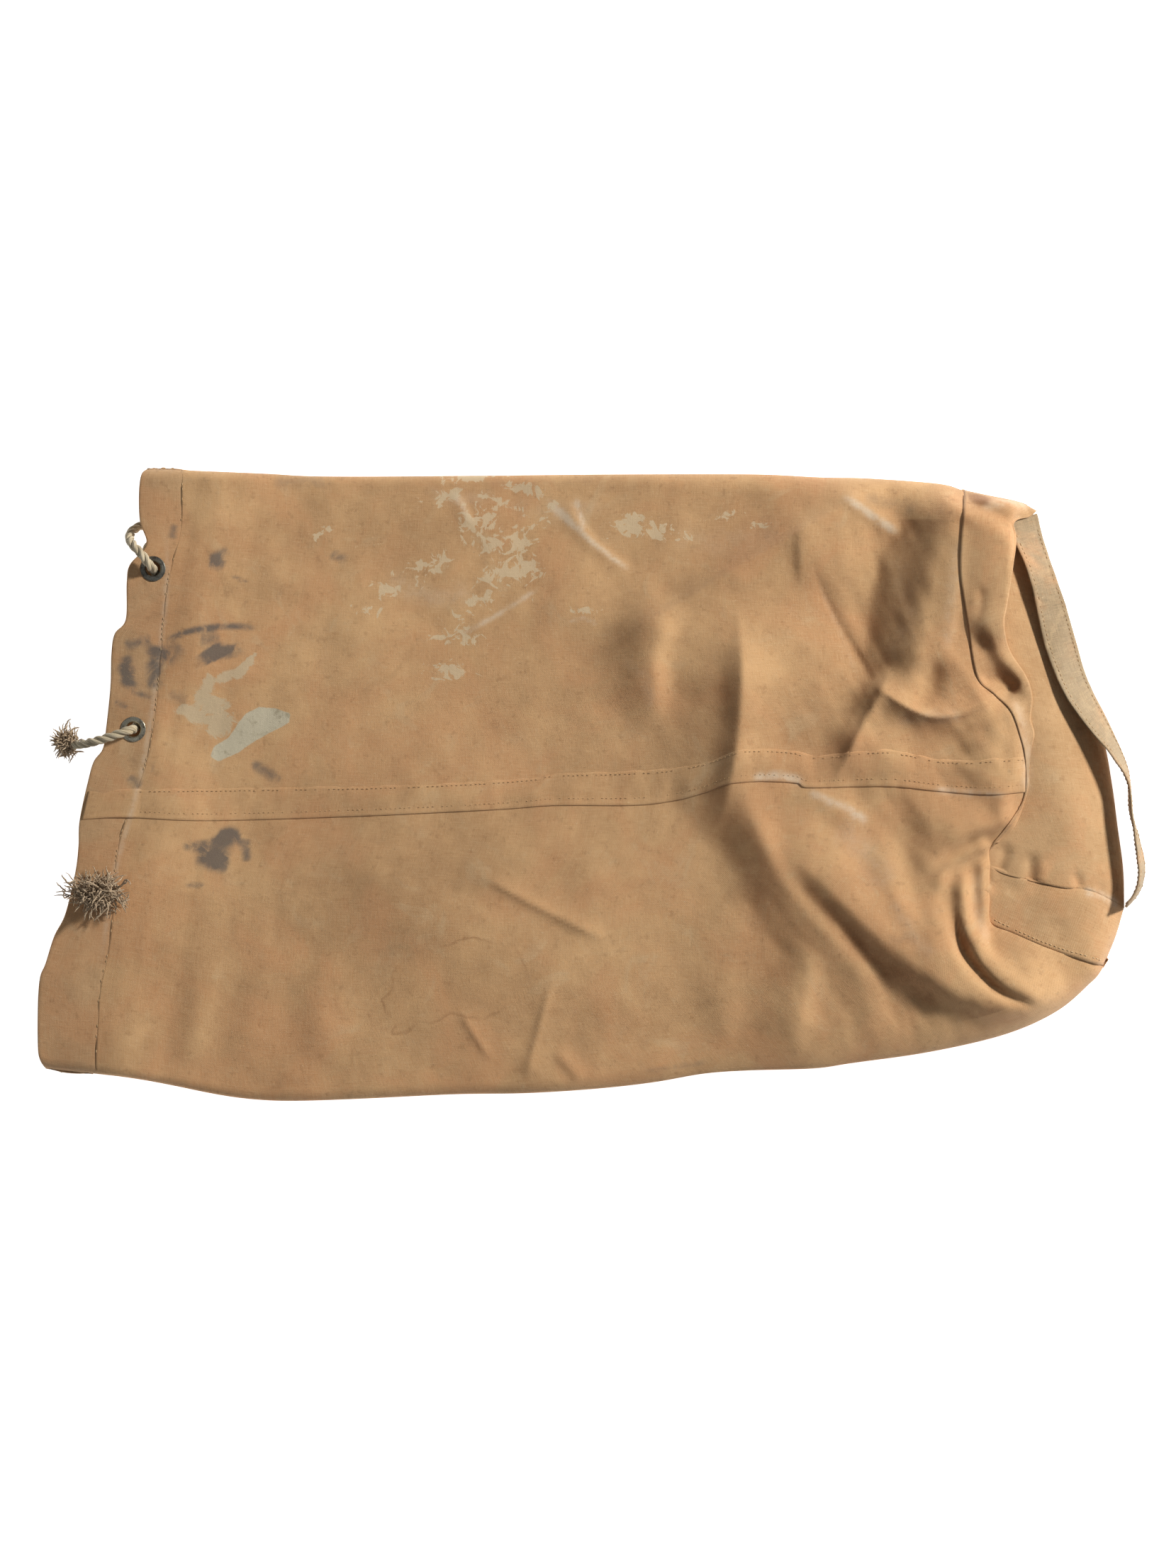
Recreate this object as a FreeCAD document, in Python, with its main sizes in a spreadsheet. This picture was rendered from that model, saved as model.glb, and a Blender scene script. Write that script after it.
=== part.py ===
"""A canvas mail sack, empty and lying flat, in millimetres.

+X runs from the mouth to the base, +Y across the sack and +Z up from the floor.
The origin is on the floor, under the middle of the sack's box.
"""
import math
import os

import FreeCAD
import Part
import Sketcher

doc = FreeCAD.newDocument("MailSack")
V = FreeCAD.Vector

# ---------------------------------------------------------------------------
# Driving dimensions
# ---------------------------------------------------------------------------

# Cross-sections of the flattened sack, from the mouth to the fold of the base disc. "at" is
# where the section's plane crosses the X axis and "tilt" its turn about Z. "low" and "high" are
# the two side folds, measured along the section, and "floor" and "top" its lowest and highest Z.
STATIONS = {
    "mouth": {"at": -460.5, "tilt": -9.9, "low": -258.9, "high": 293.4, "floor": 10.5, "top": 32.2},
    "hem": {"at": -414.8, "tilt": -9.9, "low": -264.5, "high": 292.4, "floor": 10.5, "top": 32.2},
    "flat": {"at": -290, "tilt": -5, "low": -290.1, "high": 286.1, "floor": -0.1, "top": 16},
    "middle": {"at": 0, "tilt": 0, "low": -278, "high": 285, "floor": -0.1, "top": 18},
    "rise": {"at": 200, "tilt": 5, "low": -260, "high": 283, "floor": -0.1, "top": 32},
    "seam": {"at": 368, "tilt": 10, "low": -222, "high": 268, "floor": 0, "top": 54},
    "rim": {"at": 400, "tilt": 12, "low": -192, "high": 262, "floor": 0, "top": 50},
    "fold": {"at": 461, "tilt": 15, "low": -112, "high": 246, "floor": 3, "top": 14},
}

SIZES = {
    "cloth": 1.2,  # one layer of canvas with its finish
    "hem_cloth": 2.4,  # the doubled cloth of the mouth hem
    "lap_cloth": 1.0,  # the felled seam's lap, over the tube
    "lap_gap": 0.3,
    "strap_width": 36,
    "strap_thick": 2.6,
    "eyelet_bore": 6.75,  # radii from here
    "eyelet_barrel": 7.6,
    "eyelet_flange": 11.5,
    "eyelet_lip": 8.8,
    "washer_bore": 7.75,
    "washer_rim": 11.3,
    "punched_hole": 7.7,
    "flange_thick": 1.2,
    "washer_thick": 1.0,
    "lip_thick": 0.6,
    "rope_radius": 4.25,
    "rope_under": 4.75,  # heights of the rope's centre: under the back of the hem,
    "rope_inside": 23.5,  # between its two layers,
    "rope_over": 42.3,  # and where it comes out over the front
    "fray_radius": 14,
    "fray_length": 28,
    "floor_cut_reach": 600,  # the cut that leaves the flat underside, to each side
    "floor_cut_deep": 1,
}

sheet = doc.addObject("Spreadsheet::Sheet", "Sizes")


def fill_sheet():
    rows = dict(SIZES)
    for station, values in STATIONS.items():
        for key, value in values.items():
            rows[f"{station}_{key}"] = value
    for row, (alias, value) in enumerate(rows.items(), start=1):
        sheet.set(f"A{row}", alias)
        sheet.set(f"B{row}", str(value))
        sheet.setAlias(f"B{row}", alias)
    doc.recompute()


def size(alias):
    """A driving dimension, read from the sheet."""
    return float(sheet.get(alias))


fill_sheet()


# ---------------------------------------------------------------------------
# Sketches and lofts for the cloth
# ---------------------------------------------------------------------------

def plane(body, role):
    """One of a body's own origin planes."""
    return next(f for f in body.Origin.OriginFeatures if f.Role == role)


def station_sketch(body, name, station):
    """An empty sketch on a station's plane, with its X across the sack and its Y up."""
    sketch = body.newObject("Sketcher::SketchObject", name)
    sketch.AttachmentSupport = (plane(body, "YZ_Plane"), [""])
    sketch.MapMode = "FlatFace"
    turn = FreeCAD.Rotation(V(0, 1, 0), size(f"{station}_tilt"))
    sketch.AttachmentOffset = FreeCAD.Placement(V(0, 0, size(f"{station}_at")), turn)
    sketch.setExpression("AttachmentOffset.Base.z", f"Sizes.{station}_at")
    return sketch


def bind(sketch, constraint, name, expression):
    """Adds a named constraint whose value follows the sheet."""
    index = sketch.addConstraint(constraint)
    sketch.renameConstraint(index, name)
    sketch.setExpression(f"Constraints.{name}", expression)


def oval_section(body, name, station, inset):
    """A flattened tube's section: two flat faces and two round side folds. inset is the sheet's
    alias of the wall's thickness, or None for the outer face."""
    wall = size(inset) if inset else 0.0
    low = size(f"{station}_low") + wall
    high = size(f"{station}_high") - wall
    floor = size(f"{station}_floor") + wall
    top = size(f"{station}_top") - wall
    radius = (top - floor) / 2
    middle = (top + floor) / 2
    left, right = low + radius, high - radius
    quarter = math.pi / 2

    sketch = station_sketch(body, name, station)
    upper = sketch.addGeometry(Part.LineSegment(V(left, top, 0), V(right, top, 0)), False)
    high_arc = sketch.addGeometry(
        Part.ArcOfCircle(Part.Circle(V(right, middle, 0), V(0, 0, 1), radius), -quarter, quarter), False)
    lower = sketch.addGeometry(Part.LineSegment(V(right, floor, 0), V(left, floor, 0)), False)
    low_arc = sketch.addGeometry(
        Part.ArcOfCircle(Part.Circle(V(left, middle, 0), V(0, 0, 1), radius), quarter, 3 * quarter), False)
    start, end, centre = 1, 2, 3
    for first, first_point, second, second_point in (
        (upper, end, high_arc, end),
        (high_arc, start, lower, start),
        (lower, end, low_arc, end),
        (low_arc, start, upper, start),
    ):
        sketch.addConstraint(Sketcher.Constraint("Tangent", first, first_point, second, second_point))
    sketch.addConstraint(Sketcher.Constraint("Horizontal", upper))
    inside = f" - Sizes.{inset}" if inset else ""
    half = f"((Sizes.{station}_top - Sizes.{station}_floor) / 2{inside})"
    origin = (-1, 1)
    bind(sketch, Sketcher.Constraint("Radius", low_arc, radius), "fold_radius", half)
    bind(sketch, Sketcher.Constraint("DistanceY", *origin, low_arc, centre, middle), "mid_height",
         f"(Sizes.{station}_top + Sizes.{station}_floor) / 2")
    bind(sketch, Sketcher.Constraint("DistanceX", *origin, low_arc, centre, left), "low_fold",
         f"Sizes.{station}_low + (Sizes.{station}_top - Sizes.{station}_floor) / 2")
    bind(sketch, Sketcher.Constraint("DistanceX", *origin, high_arc, centre, right), "high_fold",
         f"Sizes.{station}_high - (Sizes.{station}_top - Sizes.{station}_floor) / 2")
    return sketch


def loft(body, kind, name, sketches):
    feature = body.newObject(kind, name)
    feature.Profile = sketches[0]
    feature.Sections = sketches[1:]
    feature.Ruled = True
    return feature


def cloth_ring(label, stations, wall):
    """A length of the flattened tube, open at both ends, with the sheet's wall thickness."""
    body = doc.addObject("PartDesign::Body", label)
    body.Label = label
    outer = [oval_section(body, f"{label}_outer_{name}", name, None) for name in stations]
    loft(body, "PartDesign::AdditiveLoft", f"{label}_outside", outer)
    inner = [oval_section(body, f"{label}_inner_{name}", name, wall) for name in stations]
    doc.recompute()
    loft(body, "PartDesign::SubtractiveLoft", f"{label}_inside", inner)
    doc.recompute()
    return body


# ---------------------------------------------------------------------------
# Canvas: tube, hem, base band, base disc and seam lap
# ---------------------------------------------------------------------------

# Where each eyelet's axis crosses the hem, numbered round the mouth: 1 to 3 through the front,
# 4 to 8 through the back.
FRONT_EYELETS = {1: (-401, 197), 2: (-419, 51), 3: (-450, -100)}
BACK_EYELETS = {4: (-477.6, -232.1), 5: (-458.2, -120.8), 6: (-437.5, -2.6),
                7: (-416.9, 115.6), 8: (-395.6, 237.7)}


def punch(body, name, centre, height, through):
    """Cuts one round hole down through one layer of the hem, from a sketch above that layer."""
    sketch = body.newObject("Sketcher::SketchObject", name)
    sketch.AttachmentSupport = (plane(body, "XY_Plane"), [""])
    sketch.MapMode = "FlatFace"
    sketch.AttachmentOffset = FreeCAD.Placement(V(0, 0, height), FreeCAD.Rotation())
    radius = size("punched_hole")
    hole = sketch.addGeometry(Part.Circle(V(*centre, 0), V(0, 0, 1), radius), False)
    sketch.addConstraint(Sketcher.Constraint("DistanceX", -1, 1, hole, 3, centre[0]))
    sketch.addConstraint(Sketcher.Constraint("DistanceY", -1, 1, hole, 3, centre[1]))
    bind(sketch, Sketcher.Constraint("Radius", hole, radius), "hole_radius", "Sizes.punched_hole")
    pocket = body.newObject("PartDesign::Pocket", f"{name}_pocket")
    pocket.Profile = sketch
    pocket.Length = through
    doc.recompute()


def flatten_base(body):
    """Cuts off what lies under the floor, which leaves one flat face to rest on."""
    sketch = body.newObject("Sketcher::SketchObject", f"{body.Label}_floor")
    sketch.AttachmentSupport = (plane(body, "XY_Plane"), [""])
    sketch.MapMode = "FlatFace"
    reach = size("floor_cut_reach")
    corners = [V(-reach, -reach, 0), V(reach, -reach, 0), V(reach, reach, 0), V(-reach, reach, 0)]
    for i in range(4):
        sketch.addGeometry(Part.LineSegment(corners[i], corners[(i + 1) % 4]), False)
    pocket = body.newObject("PartDesign::Pocket", f"{body.Label}_floor_cut")
    pocket.Profile = sketch
    pocket.Length = size("floor_cut_deep")
    doc.recompute()


body_tube = cloth_ring("body_tube", ["hem", "flat", "middle", "rise", "seam"], "cloth")
flatten_base(body_tube)
mouth_hem = cloth_ring("mouth_hem", ["mouth", "hem"], "hem_cloth")
base_band = cloth_ring("base_band", ["seam", "rim"], "cloth")

LAYER_GAP = 0.5  # how far each punched pocket starts above its layer of the hem
for number, place in FRONT_EYELETS.items():
    punch(mouth_hem, f"front_hole_{number}", place, size("mouth_top") + LAYER_GAP,
          size("hem_cloth") + 2 * LAYER_GAP)
for number, place in BACK_EYELETS.items():
    punch(mouth_hem, f"back_hole_{number}", place, size("mouth_floor") + size("hem_cloth") + LAYER_GAP,
          size("hem_cloth") + 2 * LAYER_GAP)


def base_cap():
    """The base disc, folded in half: a hollow wedge from the band's rim to the fold."""
    body = doc.addObject("PartDesign::Body", "base_disc")
    body.Label = "base_disc"
    outer = [oval_section(body, f"base_disc_outer_{name}", name, None) for name in ("rim", "fold")]
    loft(body, "PartDesign::AdditiveLoft", "base_disc_outside", outer)
    inner = [oval_section(body, "base_disc_inner_rim", "rim", "cloth"), inner_fold(body)]
    doc.recompute()
    loft(body, "PartDesign::SubtractiveLoft", "base_disc_inside", inner)
    doc.recompute()
    return body


def inner_fold(body):
    """The hollow's last section, one cloth short of the fold."""
    sketch = oval_section(body, "base_disc_inner_fold", "fold", "cloth")
    sketch.setExpression("AttachmentOffset.Base.z", "Sizes.fold_at - Sizes.cloth")
    return sketch


base_disc = base_cap()

# The lap's two edges at each station, measured along the section.
LAP_EDGES = {"hem": (-31, -2), "flat": (-31, -1), "middle": (-18, 12), "rise": (-3, 28), "seam": (-9, 25)}


def lap_section(body, station):
    low, high = LAP_EDGES[station]
    under = size(f"{station}_top") + size("lap_gap")
    over = under + size("lap_cloth")
    corners = [V(low, under, 0), V(high, under, 0), V(high, over, 0), V(low, over, 0)]
    sketch = station_sketch(body, f"lap_{station}", station)
    sides = [sketch.addGeometry(Part.LineSegment(corners[i], corners[(i + 1) % 4]), False) for i in range(4)]
    for i in range(4):
        sketch.addConstraint(Sketcher.Constraint("Coincident", sides[i], 2, sides[(i + 1) % 4], 1))
        sketch.addConstraint(Sketcher.Constraint("Vertical" if i % 2 else "Horizontal", sides[i]))
    bind(sketch, Sketcher.Constraint("DistanceX", -1, 1, sides[0], 1, low), "low_edge", f"{low}")
    bind(sketch, Sketcher.Constraint("DistanceX", -1, 1, sides[0], 2, high), "high_edge", f"{high}")
    bind(sketch, Sketcher.Constraint("DistanceY", -1, 1, sides[0], 1, under), "underside",
         f"Sizes.{station}_top + Sizes.lap_gap")
    bind(sketch, Sketcher.Constraint("DistanceY", sides[0], 2, sides[1], 2, over - under), "thickness",
         "Sizes.lap_cloth")
    return sketch


def lap_strip():
    body = doc.addObject("PartDesign::Body", "seam_lap")
    body.Label = "seam_lap"
    loft(body, "PartDesign::AdditiveLoft", "seam_lap_strip", [lap_section(body, name) for name in LAP_EDGES])
    doc.recompute()
    return body


seam_lap = lap_strip()


# ---------------------------------------------------------------------------
# Handle strap
# ---------------------------------------------------------------------------

# The line that the strap swings about, through its two sewn ends.
SWING_TOP = V(381, 243, 32)
SWING_LOW = V(478, -113, 32)

# The strap's course: the middle of its width and the slope of its width, in degrees. It lies on
# the disc at its upper end, slopes down to the right and then turns onto its edge.
STRAP_COURSE = [
    ((394.5, 246, 25.5), -28),
    ((405, 205, 26), -28),
    ((420, 150, 25.5), -30),
    ((436, 98, 25), -30),
    ((460, 60, 24), -45),
    ((478, 28, 22.5), -72),
    ((489.5, -8, 21.5), -86),
    ((499, -50, 21.5), -90),
    ((503.7, -84, 21.5), -90),
    ((494, -108, 21.5), -88),
]


def strap_section(index):
    """A flat rectangle across the strap at one point of its course."""
    points = [V(*point) for point, _ in STRAP_COURSE]
    before = points[max(index - 1, 0)]
    after = points[min(index + 1, len(points) - 1)]
    along = (after - before).normalize()
    level = along.cross(V(0, 0, 1)).normalize() * -1
    slope = math.radians(STRAP_COURSE[index][1])
    across = level * math.cos(slope) + V(0, 0, 1) * math.sin(slope)
    face = along.cross(across).normalize()
    half_width = across * (size("strap_width") / 2)
    half_thick = face * (size("strap_thick") / 2)
    turns = ((-1, -1), (1, -1), (1, 1), (-1, 1))
    corners = [points[index] + half_width * a + half_thick * b for a, b in turns]
    return Part.makePolygon(corners + corners[:1])


def solid_feature(label, shape):
    """A plain shape kept as an object of the document, with its own label."""
    feature = doc.addObject("Part::Feature", label)
    feature.Shape = shape
    feature.Label = label
    feature.Placement = FreeCAD.Placement()
    return feature


strap_sections = [strap_section(i) for i in range(len(STRAP_COURSE))]
handle_strap = solid_feature("handle_strap", Part.makeLoft(strap_sections, True, True))


# ---------------------------------------------------------------------------
# Eyelets and their washers
# ---------------------------------------------------------------------------

def eyelet(number, place, upright):
    """A pressed eyelet: a flange on the hem's outer face, a barrel through it and a rolled lip
    under the washer. Z is 0 at the hem's outer face, and the barrel goes down from there."""
    body = doc.addObject("PartDesign::Body", f"eyelet_{number}")
    body.Label = f"eyelet_{number}"
    sketch = body.newObject("Sketcher::SketchObject", f"eyelet_profile_{number}")
    sketch.AttachmentSupport = (plane(body, "XZ_Plane"), [""])
    sketch.MapMode = "FlatFace"
    bore, barrel, flange, lip = (size(f"eyelet_{name}") for name in ("bore", "barrel", "flange", "lip"))
    deep = size("hem_cloth") + size("washer_thick")
    end = deep + size("lip_thick")
    thick = size("flange_thick")
    corners = [(bore, thick), (flange, thick), (flange, 0), (barrel, 0), (barrel, -deep), (lip, -deep),
               (lip, -end), (bore, -end)]
    count = len(corners)
    sides = [sketch.addGeometry(Part.LineSegment(V(*corners[i], 0), V(*corners[(i + 1) % count], 0)), False)
             for i in range(count)]
    for i in range(count):
        sketch.addConstraint(Sketcher.Constraint("Coincident", sides[i], 2, sides[(i + 1) % count], 1))
        sketch.addConstraint(Sketcher.Constraint("Vertical" if i % 2 else "Horizontal", sides[i]))
    radii = {"eyelet_flange": 1, "eyelet_barrel": 3, "eyelet_lip": 5, "eyelet_bore": 0}
    for alias, side in radii.items():
        bind(sketch, Sketcher.Constraint("DistanceX", -1, 1, sides[side], 1, size(alias)), alias,
             f"Sizes.{alias}")
    levels = {
        "flange_top": (0, thick, "Sizes.flange_thick"),
        "flange_under": (2, 0, "0"),
        "lip_top": (4, -deep, "-Sizes.hem_cloth - Sizes.washer_thick"),
        "lip_under": (6, -end, "-Sizes.hem_cloth - Sizes.washer_thick - Sizes.lip_thick"),
    }
    for name, (side, value, expression) in levels.items():
        if name == "flange_under":
            sketch.addConstraint(Sketcher.Constraint("PointOnObject", sides[side], 1, -1))
        else:
            bind(sketch, Sketcher.Constraint("DistanceY", -1, 1, sides[side], 1, value), name, expression)
    turned = body.newObject("PartDesign::Revolution", f"eyelet_turned_{number}")
    turned.Profile = sketch
    turned.ReferenceAxis = (sketch, ["V_Axis"])
    turned.Angle = 360
    doc.recompute()
    body.Placement = hem_place(place, upright)
    return body


def washer(number, place, upright):
    """A flat ring against the hem's inner face, round the eyelet's barrel."""
    body = doc.addObject("PartDesign::Body", f"eyelet_washer_{number}")
    body.Label = f"eyelet_washer_{number}"
    sketch = body.newObject("Sketcher::SketchObject", f"washer_profile_{number}")
    sketch.AttachmentSupport = (plane(body, "XY_Plane"), [""])
    sketch.MapMode = "FlatFace"
    deep = size("hem_cloth") + size("washer_thick")
    sketch.AttachmentOffset = FreeCAD.Placement(V(0, 0, -deep), FreeCAD.Rotation())
    sketch.setExpression("AttachmentOffset.Base.z", "-Sizes.hem_cloth - Sizes.washer_thick")
    for alias in ("washer_rim", "washer_bore"):
        ring = sketch.addGeometry(Part.Circle(V(0, 0, 0), V(0, 0, 1), size(alias)), False)
        sketch.addConstraint(Sketcher.Constraint("Coincident", ring, 3, -1, 1))
        bind(sketch, Sketcher.Constraint("Radius", ring, size(alias)), alias, f"Sizes.{alias}")
    pad = body.newObject("PartDesign::Pad", f"washer_pad_{number}")
    pad.Profile = sketch
    pad.setExpression("Length", "Sizes.washer_thick")
    doc.recompute()
    body.Placement = hem_place(place, upright)
    return body


def hem_place(place, upright):
    """On the hem's outer face at a point: flange up through the front, or flange down through the back."""
    if upright:
        return FreeCAD.Placement(V(*place, size("mouth_top")), FreeCAD.Rotation())
    return FreeCAD.Placement(V(*place, size("mouth_floor")), FreeCAD.Rotation(V(1, 0, 0), 180))


eyelets = {}
washers = {}
for number, place in {**FRONT_EYELETS, **BACK_EYELETS}.items():
    upright = number in FRONT_EYELETS
    eyelets[number] = eyelet(number, place, upright)
    washers[number] = washer(number, place, upright)


# ---------------------------------------------------------------------------
# Drawcord
# ---------------------------------------------------------------------------

UNDER, INSIDE, OVER = size("rope_under"), size("rope_inside"), size("rope_over")

# From the end that lies on the floor, in at eyelet 2, out at 1, over the edge of the mouth, and
# so on round the mouth to the end that stands out of eyelet 3.
ROPE_ROUTE = [
    (-475.5, 37, 19), (-465, 37.5, 31.5), (-452, 40, 40.5), (-436.5, 44.5, 43), (-419, 51, OVER),
    (-419, 51, INSIDE), (-409.5, 67.5, INSIDE), (-401.5, 91, INSIDE), (-397, 121, INSIDE),
    (-396, 150, INSIDE), (-397.5, 177, INSIDE), (-401, 197, INSIDE),
    (-401, 197, OVER), (-413, 211.5, OVER), (-425.5, 219.5, 38.5), (-434.5, 226.5, 28),
    (-436, 234.5, 14), (-428.5, 239.5, UNDER), (-414, 240.5, UNDER), (-395.6, 237.7, UNDER),
    (-395.6, 237.7, INSIDE), (-405, 221.5, INSIDE), (-414, 199, INSIDE), (-419.5, 171, INSIDE),
    (-420.5, 141, INSIDE), (-416.9, 115.6, INSIDE),
    (-416.9, 115.6, UNDER), (-421.5, 97.5, UNDER), (-428, 74, UNDER), (-434.5, 45, UNDER),
    (-438, 18, UNDER), (-437.5, -2.6, UNDER),
    (-437.5, -2.6, INSIDE), (-445, -19.8, INSIDE), (-454, -44, INSIDE), (-461.5, -72, INSIDE),
    (-464, -99, INSIDE), (-458.2, -120.8, INSIDE),
    (-458.2, -120.8, UNDER), (-463, -139, UNDER), (-471, -162, UNDER), (-478, -187, UNDER),
    (-480, -211, UNDER), (-477.6, -232.1, UNDER),
    (-477.6, -232.1, INSIDE), (-468, -216, INSIDE), (-458, -194.5, INSIDE), (-448.5, -170, INSIDE),
    (-442, -144, INSIDE), (-441.5, -119.5, INSIDE), (-450, -100, INSIDE),
    (-450, -100, 41.5),
]


# How far each turn of the rope reaches along the shorter of its two legs.
TURN_SHARE = 0.45


def rounded_path(points):
    """Straight runs joined by tangent arcs, as one wire, with its length and the arcs' radii."""
    points = [V(*point) for point in points]
    edges = []
    radii = []
    here = points[0]
    for before, corner, after in zip(points, points[1:], points[2:]):
        back, ahead = before - corner, after - corner
        reach = TURN_SHARE * min(back.Length, ahead.Length)
        back.normalize()
        ahead.normalize()
        half_turn = (math.pi - back.getAngle(ahead)) / 2
        radius = reach / math.tan(half_turn)
        inward = (back + ahead).normalize()
        middle = corner + inward * (radius / math.cos(half_turn) - radius)
        start, end = corner + back * reach, corner + ahead * reach
        edges.append(Part.LineSegment(here, start).toShape())
        edges.append(Part.Arc(start, middle, end).toShape())
        radii.append(radius)
        here = end
    edges.append(Part.LineSegment(here, points[-1]).toShape())
    return Part.Wire(edges), sum(edge.Length for edge in edges), radii


def rope_tube():
    path, length, radii = rounded_path(ROPE_ROUTE)
    radius = size("rope_radius")
    start, second = V(*ROPE_ROUTE[0]), V(*ROPE_ROUTE[1])
    ring = Part.Wire(Part.Circle(start, second - start, radius).toShape())
    tube = path.makePipeShell([ring], True, False)
    swept = math.pi * radius ** 2 * length
    print("rope length, mm:", round(length, 1))
    print("rope volume over section times length:", round(tube.Volume / swept, 4))
    print("rope radii, mm:", [round(turn, 1) for turn in radii])
    return tube


drawcord = solid_feature("drawcord", rope_tube())


def fray(label, centre, along, half_height):
    """A frayed rope end: a flattened tuft."""
    tuft = Part.makeSphere(1)
    scale = FreeCAD.Matrix()
    scale.scale(V(size("fray_length") / 2, size("fray_radius"), half_height))
    tuft = tuft.transformGeometry(scale)
    turn = FreeCAD.Rotation(V(1, 0, 0), V(along[0], along[1], 0))
    feature = solid_feature(label, tuft)
    feature.Placement = FreeCAD.Placement(V(*centre), turn)
    return feature


frayed_ends = [
    fray("frayed_end_1", (-485, 42, 12.5), (1, -0.3), 11.5),
    fray("frayed_end_2", (-456, -99, 45.5), (1, -0.1), 10.5),
]

pieces = [body_tube, mouth_hem, base_band, base_disc, seam_lap, handle_strap, drawcord, *frayed_ends,
          *eyelets.values(), *washers.values()]


def check_pieces():
    doc.recompute()
    for item in doc.Objects:
        if any(word in item.State for word in ("Invalid", "Error")):
            raise RuntimeError(f"{item.Name} is {item.State}")
    for piece in pieces:
        if piece.Shape.isNull() or not piece.Shape.isValid():
            raise RuntimeError(f"{piece.Label} has no valid shape")


def write_pieces():
    os.makedirs("parts", exist_ok=True)
    for piece in pieces:
        piece.Shape.exportStep(os.path.join("parts", f"{piece.Label}.step"))


check_pieces()
write_pieces()
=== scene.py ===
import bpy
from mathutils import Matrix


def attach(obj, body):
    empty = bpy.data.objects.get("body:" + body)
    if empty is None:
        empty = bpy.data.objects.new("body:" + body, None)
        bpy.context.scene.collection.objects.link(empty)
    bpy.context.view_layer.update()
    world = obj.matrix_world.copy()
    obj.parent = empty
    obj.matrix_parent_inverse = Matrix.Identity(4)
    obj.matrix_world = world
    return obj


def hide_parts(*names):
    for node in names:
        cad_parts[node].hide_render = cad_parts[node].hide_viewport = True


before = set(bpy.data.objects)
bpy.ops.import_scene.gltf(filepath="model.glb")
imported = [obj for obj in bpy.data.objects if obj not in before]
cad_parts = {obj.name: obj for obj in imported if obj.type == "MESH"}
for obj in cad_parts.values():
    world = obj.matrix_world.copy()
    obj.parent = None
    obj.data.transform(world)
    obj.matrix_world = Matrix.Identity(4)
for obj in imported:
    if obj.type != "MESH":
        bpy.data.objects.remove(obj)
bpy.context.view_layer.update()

import math

import bpy
import numpy as np
from mathutils import Vector

MM = 0.001

# ---------------------------------------------------------------------------
# Camera and lights
# ---------------------------------------------------------------------------

camera_data = bpy.data.cameras.new("camera")
camera_data.sensor_fit = "VERTICAL"
camera_data.sensor_height = 36.0
FRAME_HEIGHT = 1.431
CAMERA_HEIGHT = 3.2
camera_data.lens = camera_data.sensor_height * (CAMERA_HEIGHT - 0.02) / FRAME_HEIGHT
camera_data.clip_end = 50
camera = bpy.data.objects.new("camera", camera_data)
camera.location = (-0.0055, 0.0013, CAMERA_HEIGHT)
bpy.context.scene.collection.objects.link(camera)
bpy.context.scene.camera = camera
bpy.context.scene.view_settings.view_transform = "Standard"


def area_light(name, place, target, power, wide, colour):
    data = bpy.data.lights.new(name, "AREA")
    data.energy, data.size, data.color = power, wide, colour
    lamp = bpy.data.objects.new(name, data)
    lamp.location = place
    lamp.rotation_euler = (Vector(target) - Vector(place)).to_track_quat("-Z", "Y").to_euler()
    bpy.context.scene.collection.objects.link(lamp)


area_light("key", (3.1, 1.75, 2.12), (0.05, 0, 0), 205, 0.5, (1.0, 0.97, 0.93))
area_light("fill", (-1.2, -1.6, 2.4), (0, 0, 0), 5, 2.4, (0.93, 0.96, 1.0))
world = bpy.data.worlds.new("studio")
bpy.context.scene.world = world
world.use_nodes = True
world.node_tree.nodes["Background"].inputs[0].default_value = (0.92, 0.95, 1.0, 1)
world.node_tree.nodes["Background"].inputs[1].default_value = 0.17

# ---------------------------------------------------------------------------
# Lines, noise and grids (all in millimetres)
# ---------------------------------------------------------------------------

LATTICE = np.random.RandomState(11).rand(256, 256)


def ease(t):
    t = np.clip(t, 0, 1)
    return t * t * (3 - 2 * t)


def noise(x, y, cell, shift=0.0):
    """Smooth noise, -1 to 1, with bumps about one cell wide."""
    gx = (0.83 * x + 0.56 * y) / cell + 17.3 * shift
    gy = (0.83 * y - 0.56 * x) / cell + 5.1 * shift
    ix, iy = np.floor(gx).astype(int), np.floor(gy).astype(int)
    fx, fy = ease(gx - ix), ease(gy - iy)
    low = LATTICE[ix & 255, iy & 255] * (1 - fx) + LATTICE[(ix + 1) & 255, iy & 255] * fx
    high = LATTICE[ix & 255, (iy + 1) & 255] * (1 - fx) + LATTICE[(ix + 1) & 255, (iy + 1) & 255] * fx
    return 2 * (low * (1 - fy) + high * fy) - 1


def curve(points, count=None, at=None):
    """A smooth line through the points, at even steps or at the given shares of its length."""
    p = np.array(points, float)
    q = np.vstack([2 * p[0] - p[1], p, 2 * p[-1] - p[-2]])
    t = np.linspace(0, 1, 10, endpoint=False)[:, None]
    runs = []
    for a, b, c, d in zip(q, q[1:], q[2:], q[3:]):
        runs.append(0.5 * (2 * b + (c - a) * t + (2 * a - 5 * b + 4 * c - d) * t**2
                           + (3 * b - a - 3 * c + d) * t**3))
    line = np.vstack(runs + [p[-1:]])
    far = np.r_[0, np.cumsum(np.linalg.norm(np.diff(line, axis=0), axis=1))]
    if at is None:
        at = np.linspace(0, 1, count or max(int(far[-1] / 6), 4))
    return np.stack([np.interp(np.asarray(at) * far[-1], far, line[:, k]) for k in range(p.shape[1])], -1)


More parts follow.
